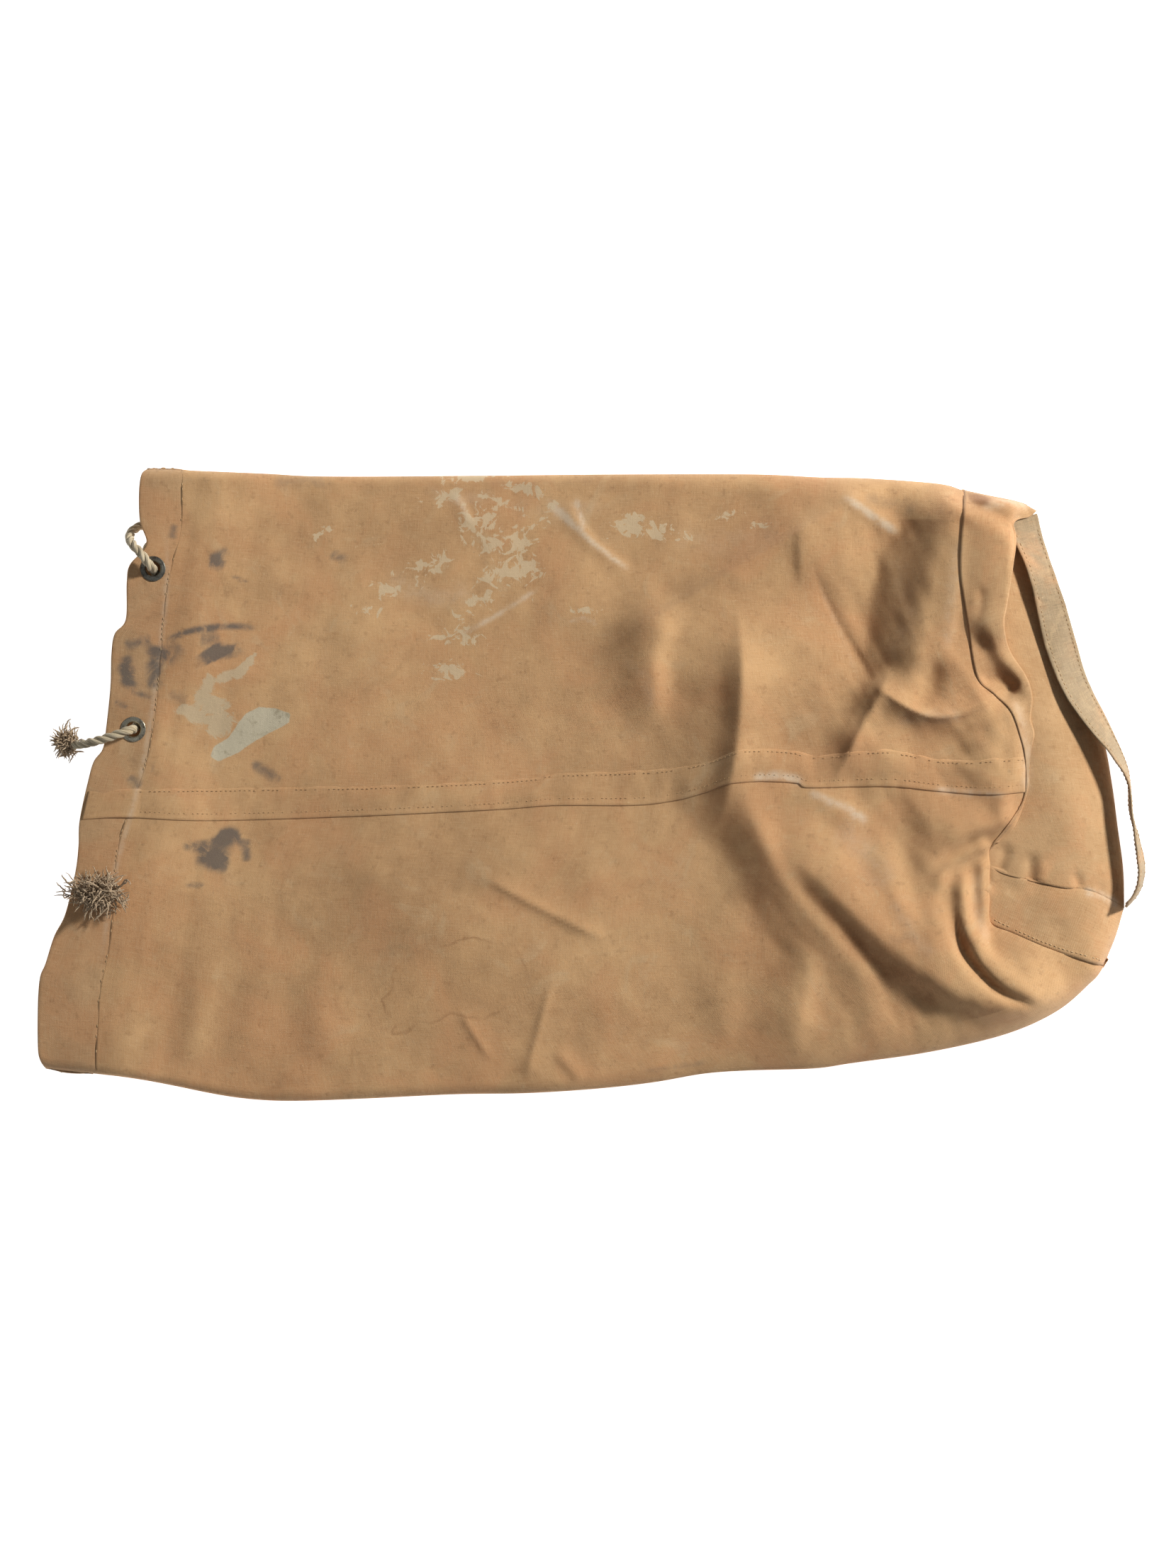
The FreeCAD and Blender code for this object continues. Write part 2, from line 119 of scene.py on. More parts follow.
def nearest(x, y, line):
    """Distance to a line, positive on its left, and the share of the way along it."""
    best, side, share = np.full(x.shape, 1e9), np.ones(x.shape), np.zeros(x.shape)
    steps = np.diff(line, axis=0)
    lengths = np.hypot(*steps.T)
    along = np.r_[0, np.cumsum(lengths)]
    for (px, py), (sx, sy), length, start in zip(line, steps, lengths, along):
        dx, dy = x - px, y - py
        u = np.clip((dx * sx + dy * sy) / length**2, 0, 1)
        d = np.hypot(dx - u * sx, dy - u * sy)
        closer = d < best
        best = np.where(closer, d, best)
        side = np.where(closer, np.sign(sx * dy - sy * dx + 1e-12), side)
        share = np.where(closer, (start + u * length) / along[-1], share)
    return best * side, share


def stroke(x, y, points, height, left, right, ends=(0.2, 0.2), sharp=False):
    """A ridge, or a valley when height is negative, along a line: left and right are its widths
    on the two sides, and it fades over a share of its length at each end."""
    line = curve(points)
    out = np.zeros(x.shape)
    reach = 3.2 * max(left, right)
    near = ((x > line[:, 0].min() - reach) & (x < line[:, 0].max() + reach)
            & (y > line[:, 1].min() - reach) & (y < line[:, 1].max() + reach))
    d, t = nearest(x[near], y[near], line)
    w = np.abs(d) / np.where(d > 0, left, right)
    shape = np.exp(-1.5 * w) if sharp else np.exp(-w * w)
    fade = ease(t / max(ends[0], 1e-6)) * ease((1 - t) / max(ends[1], 1e-6))
    out[near] = height * shape * fade
    return out


def coons(left, right, bottom, top, us, vs):
    """A grid of points between four edges: left and right run upwards, bottom and top run rightwards."""
    lf, rt, bt, tp = curve(left, at=vs), curve(right, at=vs), curve(bottom, at=us), curve(top, at=us)
    u, v = us[:, None, None], vs[None, :, None]
    corners = ((1 - u) * (1 - v) * bt[0] + u * (1 - v) * bt[-1] + (1 - u) * v * tp[0] + u * v * tp[-1])
    return (1 - u) * lf[None] + u * rt[None] + (1 - v) * bt[:, None] + v * tp[:, None] - corners


EDGE_STEPS = np.array([0, 0.3, 0.9, 1.8, 3.0, 4.6, 6.8, 9.4])


def crowded(width, step):
    """Shares across a width, crowded at both edges, where the cloth turns over."""
    middle = np.linspace(12.5, width - 12.5, max(int(width / step), 4))
    return np.r_[EDGE_STEPS, middle, (width - EDGE_STEPS)[::-1]] / width


# ---------------------------------------------------------------------------
# Outlines and seams (mm)
# ---------------------------------------------------------------------------

BOTTOM_EDGE = [(-455, -263), (-431, -266), (-402, -271), (-345, -283), (-307, -288), (-270, -289), (-211,
               -287), (-128, -283), (-63, -282), (1, -278), (54, -272), (100, -264), (140, -261), (201,
               -259), (236, -254), (305, -244), (375, -228), (423, -207), (453, -182), (466, -166)]
TOP_EDGE = [(-376, 288), (-361, 287), (-297, 285), (-243, 283), (-89, 284), (22, 285), (144, 285), (208,
            282), (251, 281), (315, 276), (337, 270)]
HEM_LINE = [(-455, -263), (-453, -219), (-450, -181), (-441, -137), (-435, -60), (-419, -9), (-407, 28),
            (-400, 71), (-395, 126), (-393, 151), (-388, 189), (-377, 236), (-376, 288)]
MOUTH_EDGE = [(-499, -258), (-503, -250), (-505, -238), (-505, -200), (-503, -175), (-498, -162), (-490,
              -137), (-480, -117), (-471, -80), (-468, -56), (-467, -32), (-459, 5), (-454, 22), (-446, 33),
              (-443, 50), (-439, 89), (-438, 120), (-435, 138), (-425, 151), (-424, 185), (-421, 201),
              (-406, 219), (-412, 240), (-413, 265), (-411, 283), (-406, 289)]
BASE_SEAM = [(466, -166), (417, -150), (379, -134), (358, -124), (357, -100), (357, -70), (358, -57), (375,
             -45), (384, -30), (392, -11), (393, 22), (388, 45), (379, 68), (364, 83), (349, 98), (341,
             136), (335, 170), (332, 197), (333.5, 231), (337, 270)]
BAND_SEAM = [(466, -165), (417, -150), (379, -134), (358, -124), (345, -104), (350, -70), (372, -40), (390,
             -11), (391, 22), (386, 45), (377, 68), (362, 83), (347, 98), (339, 136), (333, 170), (330,
             197), (331.5, 231), (337, 270)]
ROLL_EDGE = [(485, -112), (451, -96), (428, -93.5), (398, -87), (371, -80), (354, -69), (358, -58), (378,
             -36), (391, -11), (394, 23), (398, 45), (394.5, 60), (396, 79), (390, 98), (375, 121), (368,
             144), (371, 166), (377, 201), (381, 226), (378, 237), (385, 243), (397, 246), (404, 251)]
DISC_LEFT = [(346, -66), (300, -46), (262, 0), (246, 60), (242, 130), (254, 200), (320, 256)]
DISC_EDGE = [(485, -112), (484, -76), (479, -38), (474, 0), (466, 42), (450, 85), (436, 125), (424, 160),
             (411, 200), (402, 232), (396, 256)]
BACK_SEAM = [(466, -166), (448, -130), (428, -80), (412, -10), (402, 70), (386, 150), (360, 225), (337,
             270)]
BACK_RIM = [(485, -112), (470, -84), (458, -40), (450, 10), (438, 75), (424, 130), (406, 190), (396, 225),
            (396, 256)]
LAP_FOLD = [(-466.3, -31), (-426, -29), (-351, -32), (-215, -28), (-89, -22), (-37, -18.3), (38, -18), (76,
            -13.3), (103, -5.8), (121, 1.1), (152, 3.7), (185, 2), (195, -2), (265, -0.8), (310, -5), (356,
            -8.4), (391, -6)]
LAP_TOP = [(-460.5, -6), (-426, -5), (-348, -4), (-215, -2), (-128, 1), (-53, 6), (-37, 9.4), (57, 13),
           (103, 20.7), (133, 31), (175, 31), (205, 26), (265, 31), (322, 21.5), (391, 24.5)]
FRONT_EYELETS = {1: (-401, 197), 2: (-419, 51), 3: (-450, -100)}
BACK_EYELETS = {4: (-477.6, -232.1), 5: (-458.2, -120.8), 6: (-437.5, -2.6), 7: (-416.9, 115.6), 8: (-395.6,
                237.7)}
HEM_FRONT_Z, HEM_BACK_Z = 32.2, 10.5
HEM_PROUD = 1.0
HEM_SAG = 0.9  # between two eyelets
SLANT = 0.172  # the sack's cross-lines lean by this much X for each Y
LOW_CREST, CREST_ROOM = 46, 16  # folds are pressed together above the first height
TUBE_CLOTH, HEM_CLOTH, LAP_CLOTH, BAND_CLOTH, DISC_CLOTH, STRAP_CLOTH = 1.2, 0.95, 0.8, 1.0, 1.1, 2.2
ROLL_DROP = 13  # how far the roll's edge turns down beside the base

# ---------------------------------------------------------------------------
# The height of the cloth
# ---------------------------------------------------------------------------

# Each row: points, height, width on the left, width on the right, fades at the ends, sharp or not.
FOLDS = [
    ([(-14, 108), (10, 124), (38, 141), (83, 167), (121, 191), (165, 217), (216, 246), (244, 264), (276,
     280)], 19, 26, 60, (0.4, 0.3), 1),
    ([(44, 40), (52, 84), (52, 116), (62, 146), (83, 170)], 9, 30, 14, (0.4, 0.3), 0),
    ([(104, -60), (120, -14), (130, 38), (134, 90), (133, 132), (128, 182)], 21, 74, 100, (0.4, 0.35), 1),
    ([(112, -30), (127, 20), (134, 80), (132, 140)], 3, 12, 20, (0.3, 0.3), 0),
    ([(190, 175), (188, 205), (187, 240)], 2.2, 5, 16, (0.4, 0.4), 0),
    ([(262, 74), (241, 118), (222, 150), (206, 183), (190, 226)], -4.5, 34, 14, (0.3, 0.45), 1),
    ([(212, -8), (228, 24), (243, 54), (260, 86), (270, 112)], 15, 22, 40, (0.45, 0.3), 1),
    ([(374, 90), (352, 74), (330, 65), (308, 62), (286, 69), (262, 84), (244, 100)], 13, 16, 24, (0.2, 0.3),
     1),
    ([(276, 58), (289, 92), (297, 122), (304, 156), (310, 190), (320, 225), (344, 262)], 17, 25, 70, (0.35,
     0.1), 0),
    ([(242, 84), (246, 130), (252, 180), (268, 228), (304, 254)], -8, 34, 16, (0.35, 0.3), 0),
    ([(316, 110), (322, 150), (328, 205), (331, 240)], 3, 12, 6, (0.3, 0.2), 0),
    ([(366, 120), (369, 160), (372, 200), (375, 235), (378, 262)], 20, 34, 9, (0.25, 0.05), 0),
    ([(398, 76), (384, 101), (367, 123), (355, 152), (349, 178)], 7, 9, 13, (0.2, 0.3), 0),
    ([(346, 92), (364, 95), (384, 84)], -5, 9, 8, (0.3, 0.2), 0),
    ([(296, 62), (306, 92), (302, 122)], -6, 14, 12, (0.4, 0.4), 0),
    ([(354, -30), (374, 0), (379, 28), (376, 56), (366, 84)], 9, 44, 14, (0.3, 0.2), 0),
    ([(330, 30), (352, 40), (374, 60)], 2.5, 8, 12, (0.4, 0.3), 0),
    ([(318, 12), (344, 20), (372, 34)], 2.0, 7, 10, (0.4, 0.3), 0),
    ([(440, -192), (398, -193), (350, -190), (300, -165), (258, -134), (222, -99), (182, -62), (150, -20),
     (138, 14)], 22, 21, 48, (0.14, 0.5), 0),
    ([(266, -262), (252, -190), (221, -148), (176, -98), (156, -64), (138, -22), (126, 12)], 9.5, 26, 14,
     (0.45, 0.25), 0),
    ([(178, -258), (186, -205), (192, -165), (170, -120)], 6, 24, 14, (0.4, 0.5), 0),
    ([(112, -250), (118, -200), (118, -150)], 4, 24, 16, (0.5, 0.5), 0),
    ([(306, -176), (312, -128), (306, -88), (297, -62), (280, -42)], 7, 15, 16, (0.35, 0.4), 0),
    ([(388, -26), (362, -33), (334, -42), (312, -58), (298, -82)], 9, 10, 28, (0.2, 0.45), 0),
    ([(362, -52), (338, -63), (318, -78), (310, -104)], 5, 9, 7, (0.15, 0.3), 0),
    ([(412, -206), (371, -188), (346, -166), (330, -140), (324, -104)], -8, 6, 5, (0.25, 0.35), 0),
    ([(404, -200), (376, -180), (354, -156), (338, -128), (334, -96), (338, -66)], 11, 9, 9, (0.2, 0.2), 0),
    ([(350, -150), (353, -118), (352, -84), (353, -62)], 6, 7, 7, (0.2, 0.15), 0),
    ([(400, -202), (372, -178), (354, -156), (347, -138)], -4, 5, 7, (0.2, 0.3), 0),
    ([(184, 4), (204, -10), (226, -24), (250, -46)], 3.5, 15, 14, (0.3, 0.3), 0),
    ([(256, -40), (262, -68), (280, -108), (302, -140)], 3.5, 16, 12, (0.3, 0.3), 0),
    ([(345, 146), (350, 164), (346, 184)], -3.5, 5, 6, (0.35, 0.35), 0),
    ([(14, -143), (-50, -112), (-113, -77)], 3.0, 5, 12, (0.2, 0.3), 1),
    ([(-64, -272), (-50, -220), (-36, -169)], 3.0, 6, 12, (0.2, 0.35), 1),
    ([(-92, -254), (-108, -230), (-125, -203)], 2.2, 5, 9, (0.3, 0.3), 1),
    ([(-8, -273), (-38, -240)], 1.8, 5, 8, (0.3, 0.3), 0),
    ([(-330, -262), (-300, -180), (-295, -120)], 3.4, 20, 26, (0.3, 0.4), 0),
    ([(-372, -262), (-360, -200), (-366, -140)], 3.0, 14, 18, (0.3, 0.4), 0),
    ([(-240, -262), (-250, -200), (-232, -140)], 3.0, 18, 24, (0.3, 0.4), 0),
    ([(-28, 262), (-12, 236), (8, 214), (40, 192)], 1.8, 3.5, 9, (0.2, 0.3), 0),
    ([(-128, 134), (-90, 156), (-45, 183)], 1.5, 4, 10, (0.3, 0.3), 0),
    ([(222, 267), (250, 249), (282, 227)], 2.6, 7, 9, (0.2, 0.2), 0),
    ([(-130, 268), (-109, 236)], 1.2, 4, 7, (0.3, 0.3), 0),
    ([(338, 262), (364, 258), (388, 252), (404, 248)], 9, 12, 12, (0.3, 0.0), 0),
]
PUCKERS = [
    ([(398, -58), (395, -86)], -3.6, 6, 6, (0.5, 0.0), 0),
    ([(377, -50), (368, -76)], -3.4, 5, 6, (0.5, 0.0), 0),
    ([(436, -76), (441, -94)], -2.6, 5, 4, (0.5, 0.0), 0),
    ([(408, -66), (406, -86)], 1.6, 6, 5, (0.5, 0.0), 0),
    ([(460, -86), (462, -100)], -1.4, 5, 5, (0.5, 0.0), 0),
    ([(452, -70), (430, -20), (412, 40), (404, 90)], 2.6, 26, 24, (0.3, 0.3), 0),
    ([(420, -120), (424, -145)], -1.2, 9, 9, (0.3, 0.3), 0),
]

far_bottom = curve([(-520, -251), (-499, -258)] + BOTTOM_EDGE + [(485, -112)])
far_top = curve([(-430, 289)] + TOP_EDGE + [(362, 270), (388, 266), (410, 257), (418, 235)])
fold_line = curve(DISC_EDGE)
lap_line = curve(LAP_FOLD)


def to_sides(x, y):
    """How far a point is inside the sack's two side folds."""
    below, _ = nearest(x, y, far_bottom)
    above, _ = nearest(x, y, far_top)
    return np.maximum(np.minimum(below, -above), 0)


def along_sack(x, y):
    """How far along the sack a point is, on its slanting cross-lines."""
    return x - SLANT * y


def side_height(x, y):
    """The height of the side folds and of the fold across the disc."""
    m = along_sack(x, y)
    return np.interp(m, [-520, -400, -330, -250, 60, 200, 360, 440, 500],
                     [21.3, 21.0, 11, 7.5, 8, 11, 15, 11, 9])


def form(x, y):
    """The front's large shape: high at the mouth, flat, rising to the base and falling to the fold."""
    m = along_sack(x, y)
    z = np.interp(m, [-520, -408, -385, -350, -310, -270], [31.2, 31.2, 29.5, 22.5, 18.2, 16.5])
    z = z + 1.2 * ease((x + 270) / 280) + 9 * ease((x - 60) / 170) + 13 * ease((x - 190) / 190)
    inside, _ = nearest(x, y, fold_line)
    slope = 9 + 33 * np.sin(np.clip(inside, 0, 80) / 80 * math.pi / 2) ** 0.75
    mix = ease((x - 240) / 120)
    soft = -4.0 * np.log(np.exp(-z / 4.0) + np.exp(-slope / 4.0))
    return z * (1 - mix) + soft * mix


def rounded(x, y, z, tight=1.0):
    """Brings a height down to the side folds with a round turn."""
    edge = side_height(x, y)
    m = along_sack(x, y)
    radius = np.interp(m, [-500, -300, 0, 120, 240, 330, 460], [10, 9, 11, 18, 30, 32, 26]) * tight
    share = np.clip(to_sides(x, y) / radius, 0, 1)
    return edge + (z - edge) * np.sqrt(1 - (1 - share) ** 2)


def folds(x, y, strokes):
    return sum((stroke(x, y, *row[:5], bool(row[5])) for row in strokes), np.zeros(x.shape))


def small_waves(x, y):
    calm = 1 - 0.8 * ease((-400 - x + SLANT * y) / 20)
    waves = (2.6 * noise(x, y, 130, 1) + 1.5 * noise(x, y, 58, 2) + 0.6 * noise(x, y, 27, 3)
             + 0.2 * noise(x, y, 12, 4))
    rumpled = ease((x - 90) / 160)
    swirl = x + 0.5 * y + 26 * noise(x, y, 120, 14)
    waves = waves + rumpled * (0.8 * noise(swirl, y * 0.3, 20, 15) + 0.35 * noise(swirl, y * 0.4, 9, 16)
                               + 0.9 * noise(x, y, 34, 17))
    d, _ = nearest(x, y, lap_line)
    along_lap = 0.5 * noise(x, y * 0.15, 11, 5) * np.exp(-((d - 8) / 12) ** 2)
    return calm * (waves + along_lap)


def eyelet_pads(x, y, places, level, sag):
    """Sags the hem a little between its eyelets, and holds it level at each of them."""
    near = np.full(x.shape, 1e9)
    for px, py in places.values():
        near = np.minimum(near, np.hypot(x - px, y - py))
    return level - sag * ease((near - 14) / 40) * (1 + 0.5 * noise(x, y, 34, 8))


def front(x, y):
    """Height of the outside of the front cloth."""
    m = along_sack(x, y)
    z = form(x, y) + folds(x, y, FOLDS) + small_waves(x, y)
    hem = eyelet_pads(x, y, FRONT_EYELETS, HEM_FRONT_Z - HEM_PROUD, HEM_SAG)
    z = np.where(z > LOW_CREST, LOW_CREST + CREST_ROOM * np.tanh((z - LOW_CREST) / CREST_ROOM), z)
    mix = ease((-392 - m) / 18)
    return rounded(x, y, z * (1 - mix) + hem * mix)


def back(x, y):
    """Height of the outside of the back cloth."""
    m = along_sack(x, y)
    z = np.interp(m, [-520, -404, -385, -345, -318], [11.5, 11.5, 10.2, 2.2, 0.7])
    z = z + 0.35 * ease((m + 330) / 60) * (1 + noise(x, y, 60, 12))
    edge = side_height(x, y)
    radius = np.interp(m, [-500, -300, 0, 240, 460], [10, 8, 9, 14, 16])
    share = np.clip(to_sides(x, y) / radius, 0, 1)
    return edge + (z - edge) * np.sqrt(1 - (1 - share) ** 2)


def base_form(x, y):
    """Height of the disc and of the low part of the band, under the roll."""
    uneven = 0.5 * noise(x, y, 40, 6) + 0.22 * noise(x, y, 16, 7)
    return rounded(x, y, form(x, y) + folds(x, y, PUCKERS) + uneven)


# ---------------------------------------------------------------------------
# Marks on the cloth: each is a field on the mesh that the material turns into colour
# ---------------------------------------------------------------------------

def inside_shape(x, y, outline):
    """Signed distance into a closed outline, in mm."""
    ring = np.array(outline + outline[:1], float)
    d, _ = nearest(x, y, ring)
    hit = np.zeros(x.shape, bool)
    for (ax, ay), (bx, by) in zip(ring, ring[1:]):
        cross = ((ay > y) != (by > y)) & (x < (bx - ax) * (y - ay) / (by - ay + 1e-12) + ax)
        hit ^= cross
    return np.where(hit, np.abs(d), -np.abs(d))


def spot(x, y, cx, cy, rx, ry, turn=0.0):
    """1 at the middle of an ellipse, 0 at its edge and below 0 outside."""
    c, s = math.cos(math.radians(turn)), math.sin(math.radians(turn))
    u, v = (x - cx) * c + (y - cy) * s, (y - cy) * c - (x - cx) * s
    return 1 - np.hypot(u / rx, v / ry)


PATCH = [(-306, 72), (-290, 71), (-277, 66), (-277, 57), (-297, 47), (-314, 37), (-325, 29), (-343, 21),
         (-351, 26), (-347, 36), (-334, 44), (-326, 56), (-318, 66)]
CREAM = [(-352, 88, 15, 9, 70), (-347, 72, 13, 12, 20), (-360, 63, 14, 8, -20), (-341, 56, 14, 11, 10),
         (-322, 103, 12, 5, 40), (-336, 98, 18, 6, 15), (-312, 116, 9, 3, 50), (-372, 68, 9, 5, 0)]
FLECKS = [(-112, 238, 17, 30, 20), (-134, 262, 24, 10, 10), (-85, 258, 32, 8, -20), (-68, 222, 20, 16, 40),
          (-152, 202, 34, 10, 15), (-186, 180, 30, 8, 10), (-88, 192, 22, 16, 30), (-62, 198, 18, 20, 0),
          (-106, 168, 32, 10, 30), (-120, 134, 28, 13, 5), (-136, 106, 26, 10, -10), (-92, 220, 12, 40, 10),
          (34, 238, 28, 12, 10), (62, 232, 16, 10, 0), (-40, 250, 20, 8, 60), (-205, 160, 16, 6, 0), (120,
          246, 20, 7, 10), (82, 226, 16, 7, 0), (150, 238, 12, 5, 0), (-12, 160, 16, 6, 10), (-120, 282, 40,
          6, 0), (-250, 230, 12, 5, 20), (-60, 270, 26, 8, -10)]
GREY = [([(-300, 143), (-335, 145), (-368, 140), (-394, 130)], 3.6, 1.2), ([(-352, 126), (-344, 112)], 13,
        1.3), ([(-332, 130), (-328, 114)], 11, 0.9), ([(-362, 132), (-338, 134)], 7, 0.8), ([(-398, 132),
        (-400, 82)], 9, 1.25), ([(-426, 122), (-420, 84)], 7, 1.05), ([(-430, 126), (-400, 134)], 6, 0.95),
        ([(-424, 86), (-400, 80)], 3.5, 1.0), ([(-432, 112), (-424, 90)], 6, 0.7), ([(-330, 214), (-352,
        204)], 6, 1.0), ([(-334, 198), (-352, 204)], 6, 0.9), ([(-332, 192), (-314, 184)], 2.2, 0.8),
        ([(-384, 222), (-381, 240)], 5, 0.8), ([(-242, 213), (-224, 204)], 6, 0.8), ([(-316, 22), (-298,
        12), (-284, 2)], 6.5, 0.9), ([(-424, 10), (-412, -3)], 6, 0.85), ([(-400, 26), (-402, 8)], 3, 0.5),
        ([(-438, 75), (-422, 72)], 4, 0.9), ([(-380, -56), (-352, -54), (-326, -38)], 5.5, 1.15), ([(-366,
        -62), (-330, -76)], 9, 1.1), ([(-344, -50), (-320, -46)], 9, 1.1), ([(-350, -58), (-338, -72)], 9,
        1.1), ([(-318, -46), (-317, -72)], 5, 1.0), ([(-374, -91), (-353, -91)], 3, 0.9), ([(-392, 112),
        (-374, 130)], 10, 0.7), ([(-390, 84), (-368, 76)], 7, 0.6), ([(-300, 278), (-230, 276)], 9, 0.5),
        ([(-120, 276), (20, 279)], 7, 0.35), ([(40, -262), (110, -252)], 4, 0.5), ([(238, 264), (300, 248)],
        10, 0.45), ([(262, -136), (296, -140)], 9, 0.4)]
WORN = [([(-48, 266), (-18, 237), (2, 219), (39, 192)], 3.2, 0.9), ([(-18, 264), (-8, 232)], 2.6, 0.8),
        ([(-130, 272), (-110, 236)], 3, 0.7), ([(-129, 134), (-88, 156), (-45, 183)], 3, 0.75), ([(-26,
        148), (-8, 153), (5, 144)], 2.6, 0.6), ([(222, 266), (250, 247), (281, 227)], 4.2, 1.0), ([(-160,
        268), (-120, 262), (-80, 268)], 9, 0.35), ([(-90, 258), (-30, 250), (20, 262)], 14, 0.3), ([(140,
        6), (160, 9), (180, 7), (194, 0)], 4.5, 1.0), ([(190, -3), (212, -14), (230, -20), (252, -36)], 4.5,
        0.9), ([(215, -30), (248, -62), (270, -100)], 20, 0.36), ([(262, -96), (288, -134), (312, -163)], 9,
        0.35), ([(268, 60), (300, 62), (340, 64)], 9, 0.4), ([(318, 110), (322, 170), (330, 232)], 8, 0.4),
        ([(376, 90), (390, 50), (392, 10), (390, -20)], 7, 0.5), ([(300, -2), (340, -7), (380, -8)], 4,
        0.7), ([(244, 90), (224, 140), (200, 195)], 4, 0.3), ([(346, 250), (380, 258), (402, 252)], 7, 0.6),
        ([(-396, 270), (-388, 200), (-398, 100), (-412, 10), (-438, -90), (-452, -200)], 3.5, 0.55), ([(440,
        -96), (460, -99), (483, -112)], 5, 0.8), ([(346, -70), (348, -114), (358, -150)], 7, 0.4), ([(60,
        232), (120, 222), (180, 240)], 20, 0.28), ([(-200, 190), (-140, 172), (-100, 184)], 14, 0.4),
        ([(262, 100), (284, 160), (268, 220)], 16, 0.28), ([(20, 118), (46, 98), (52, 60)], 7, 0.3)]
TIDE = [(-150, -150), (-168, -153), (-180, -166), (-186, -172), (-183, -186), (-194, -196), (-191, -208),
        (-181, -218), (-185, -228), (-172, -226), (-158, -215), (-146, -217), (-130, -209), (-100, -214),
        (-70, -196), (-60, -170), (-72, -146), (-110, -138)]


def best_of(shapes):
    out = shapes[0]
    for other in shapes[1:]:
        out = np.maximum(out, other)
    return out


def cloth_marks(x, y, outer):
    """The fields of the marks at these points; outer is 1 on the front and 0 on the back."""
    far = -1.0
    patch = inside_shape(x, y, PATCH) / 8
    cream = best_of([spot(x, y, *row) for row in CREAM])
    flecks = best_of([spot(x, y, *row) for row in FLECKS])
    grey, worn = (sum((stroke(x, y, line, strength, width, width) for line, width, strength in rows),
                      np.zeros(x.shape)) for rows in (GREY, WORN))
    tide = inside_shape(x, y, TIDE)
    keep = outer > 0.5
    return {
        "paint": np.where(keep, patch, far), "cream": np.where(keep, cream, far),
        "flecks": np.where(keep, flecks, far), "grey": np.where(keep, grey, 0),
        "worn": np.where(keep, worn, 0),
        "tide": np.where(keep, tide / 10, -9), "east": (x + 505) / 1010,
    }


# ---------------------------------------------------------------------------
# Meshes
# ---------------------------------------------------------------------------

def make_object(name, vertices, faces, material, fields=None, uv=None):
    """A mesh from millimetre points, with its fields and its cloth coordinates."""
    mesh = bpy.data.meshes.new(name)
    mesh.from_pydata((np.asarray(vertices, float) * MM).tolist(), [], [list(map(int, f)) for f in faces])
    for field, values in (fields or {}).items():
        layer = mesh.attributes.new(field, "FLOAT", "POINT")
        layer.data.foreach_set("value", np.asarray(values, np.float32))
    if uv is not None:
        layer = mesh.uv_layers.new(name="cloth")
        corner = np.zeros(len(mesh.loops), np.int32)
        mesh.loops.foreach_get("vertex_index", corner)
        layer.data.foreach_set("uv", np.asarray(uv, np.float32)[corner].ravel())
    mesh.shade_smooth()
    mesh.materials.append(material)
    item = bpy.data.objects.new(name, mesh)
    bpy.context.scene.collection.objects.link(item)
    return item


def stand_in(item, node, moves_with="sack"):
    """Puts a piece on its body, in the place of a CAD node."""
    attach(item, moves_with)
    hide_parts(node)


def grid_faces(rows, columns, closed=False):
    """Quads of a grid whose points run row by row; closed joins the last column to the first."""
    across = columns if closed else columns - 1
    i, j = np.meshgrid(np.arange(rows - 1), np.arange(across), indexing="ij")
    k = (j + 1) % columns
    return (np.stack([i * columns + j, (i + 1) * columns + j, (i + 1) * columns + k, i * columns + k], -1)
            .reshape(-1, 4))


def cloth_uv(grid):
    """Cloth coordinates in metres: mean lengths along the two ways of a grid."""
    across = np.linalg.norm(np.diff(grid, axis=1), axis=2).mean(0)
    down = np.linalg.norm(np.diff(grid, axis=0), axis=2).mean(1)
    u, v = np.r_[0, np.cumsum(down)], np.r_[0, np.cumsum(across)]
    return np.stack(np.broadcast_arrays(u[:, None] * MM, v[None] * MM), -1).reshape(-1, 2)


def thicken(item, thickness, offset=-1.0):
    """Gives a sheet its cloth's thickness, in mm: inwards, or to both sides when offset is 0."""
    modifier = item.modifiers.new("cloth", "SOLIDIFY")
    modifier.thickness, modifier.offset = thickness * MM, offset
    modifier.use_rim = True
    modifier.use_even_offset = False


def face_up(item, upper):
    """Turns the faces over if those at the given points look down instead of up."""
    normals = np.array([item.data.vertices[int(i)].normal.z for i in upper])
    if normals.mean() < 0:
        item.data.flip_normals()


# ---------------------------------------------------------------------------
# Materials
# ---------------------------------------------------------------------------

def linear(red, green, blue):
    """A display colour, 0 to 255, as the linear colour that nodes take."""
    shares = [c / 255 for c in (red, green, blue)]
    return tuple(((c + 0.055) / 1.055) ** 2.4 if c > 0.04 else c / 12.92 for c in shares) + (1,)


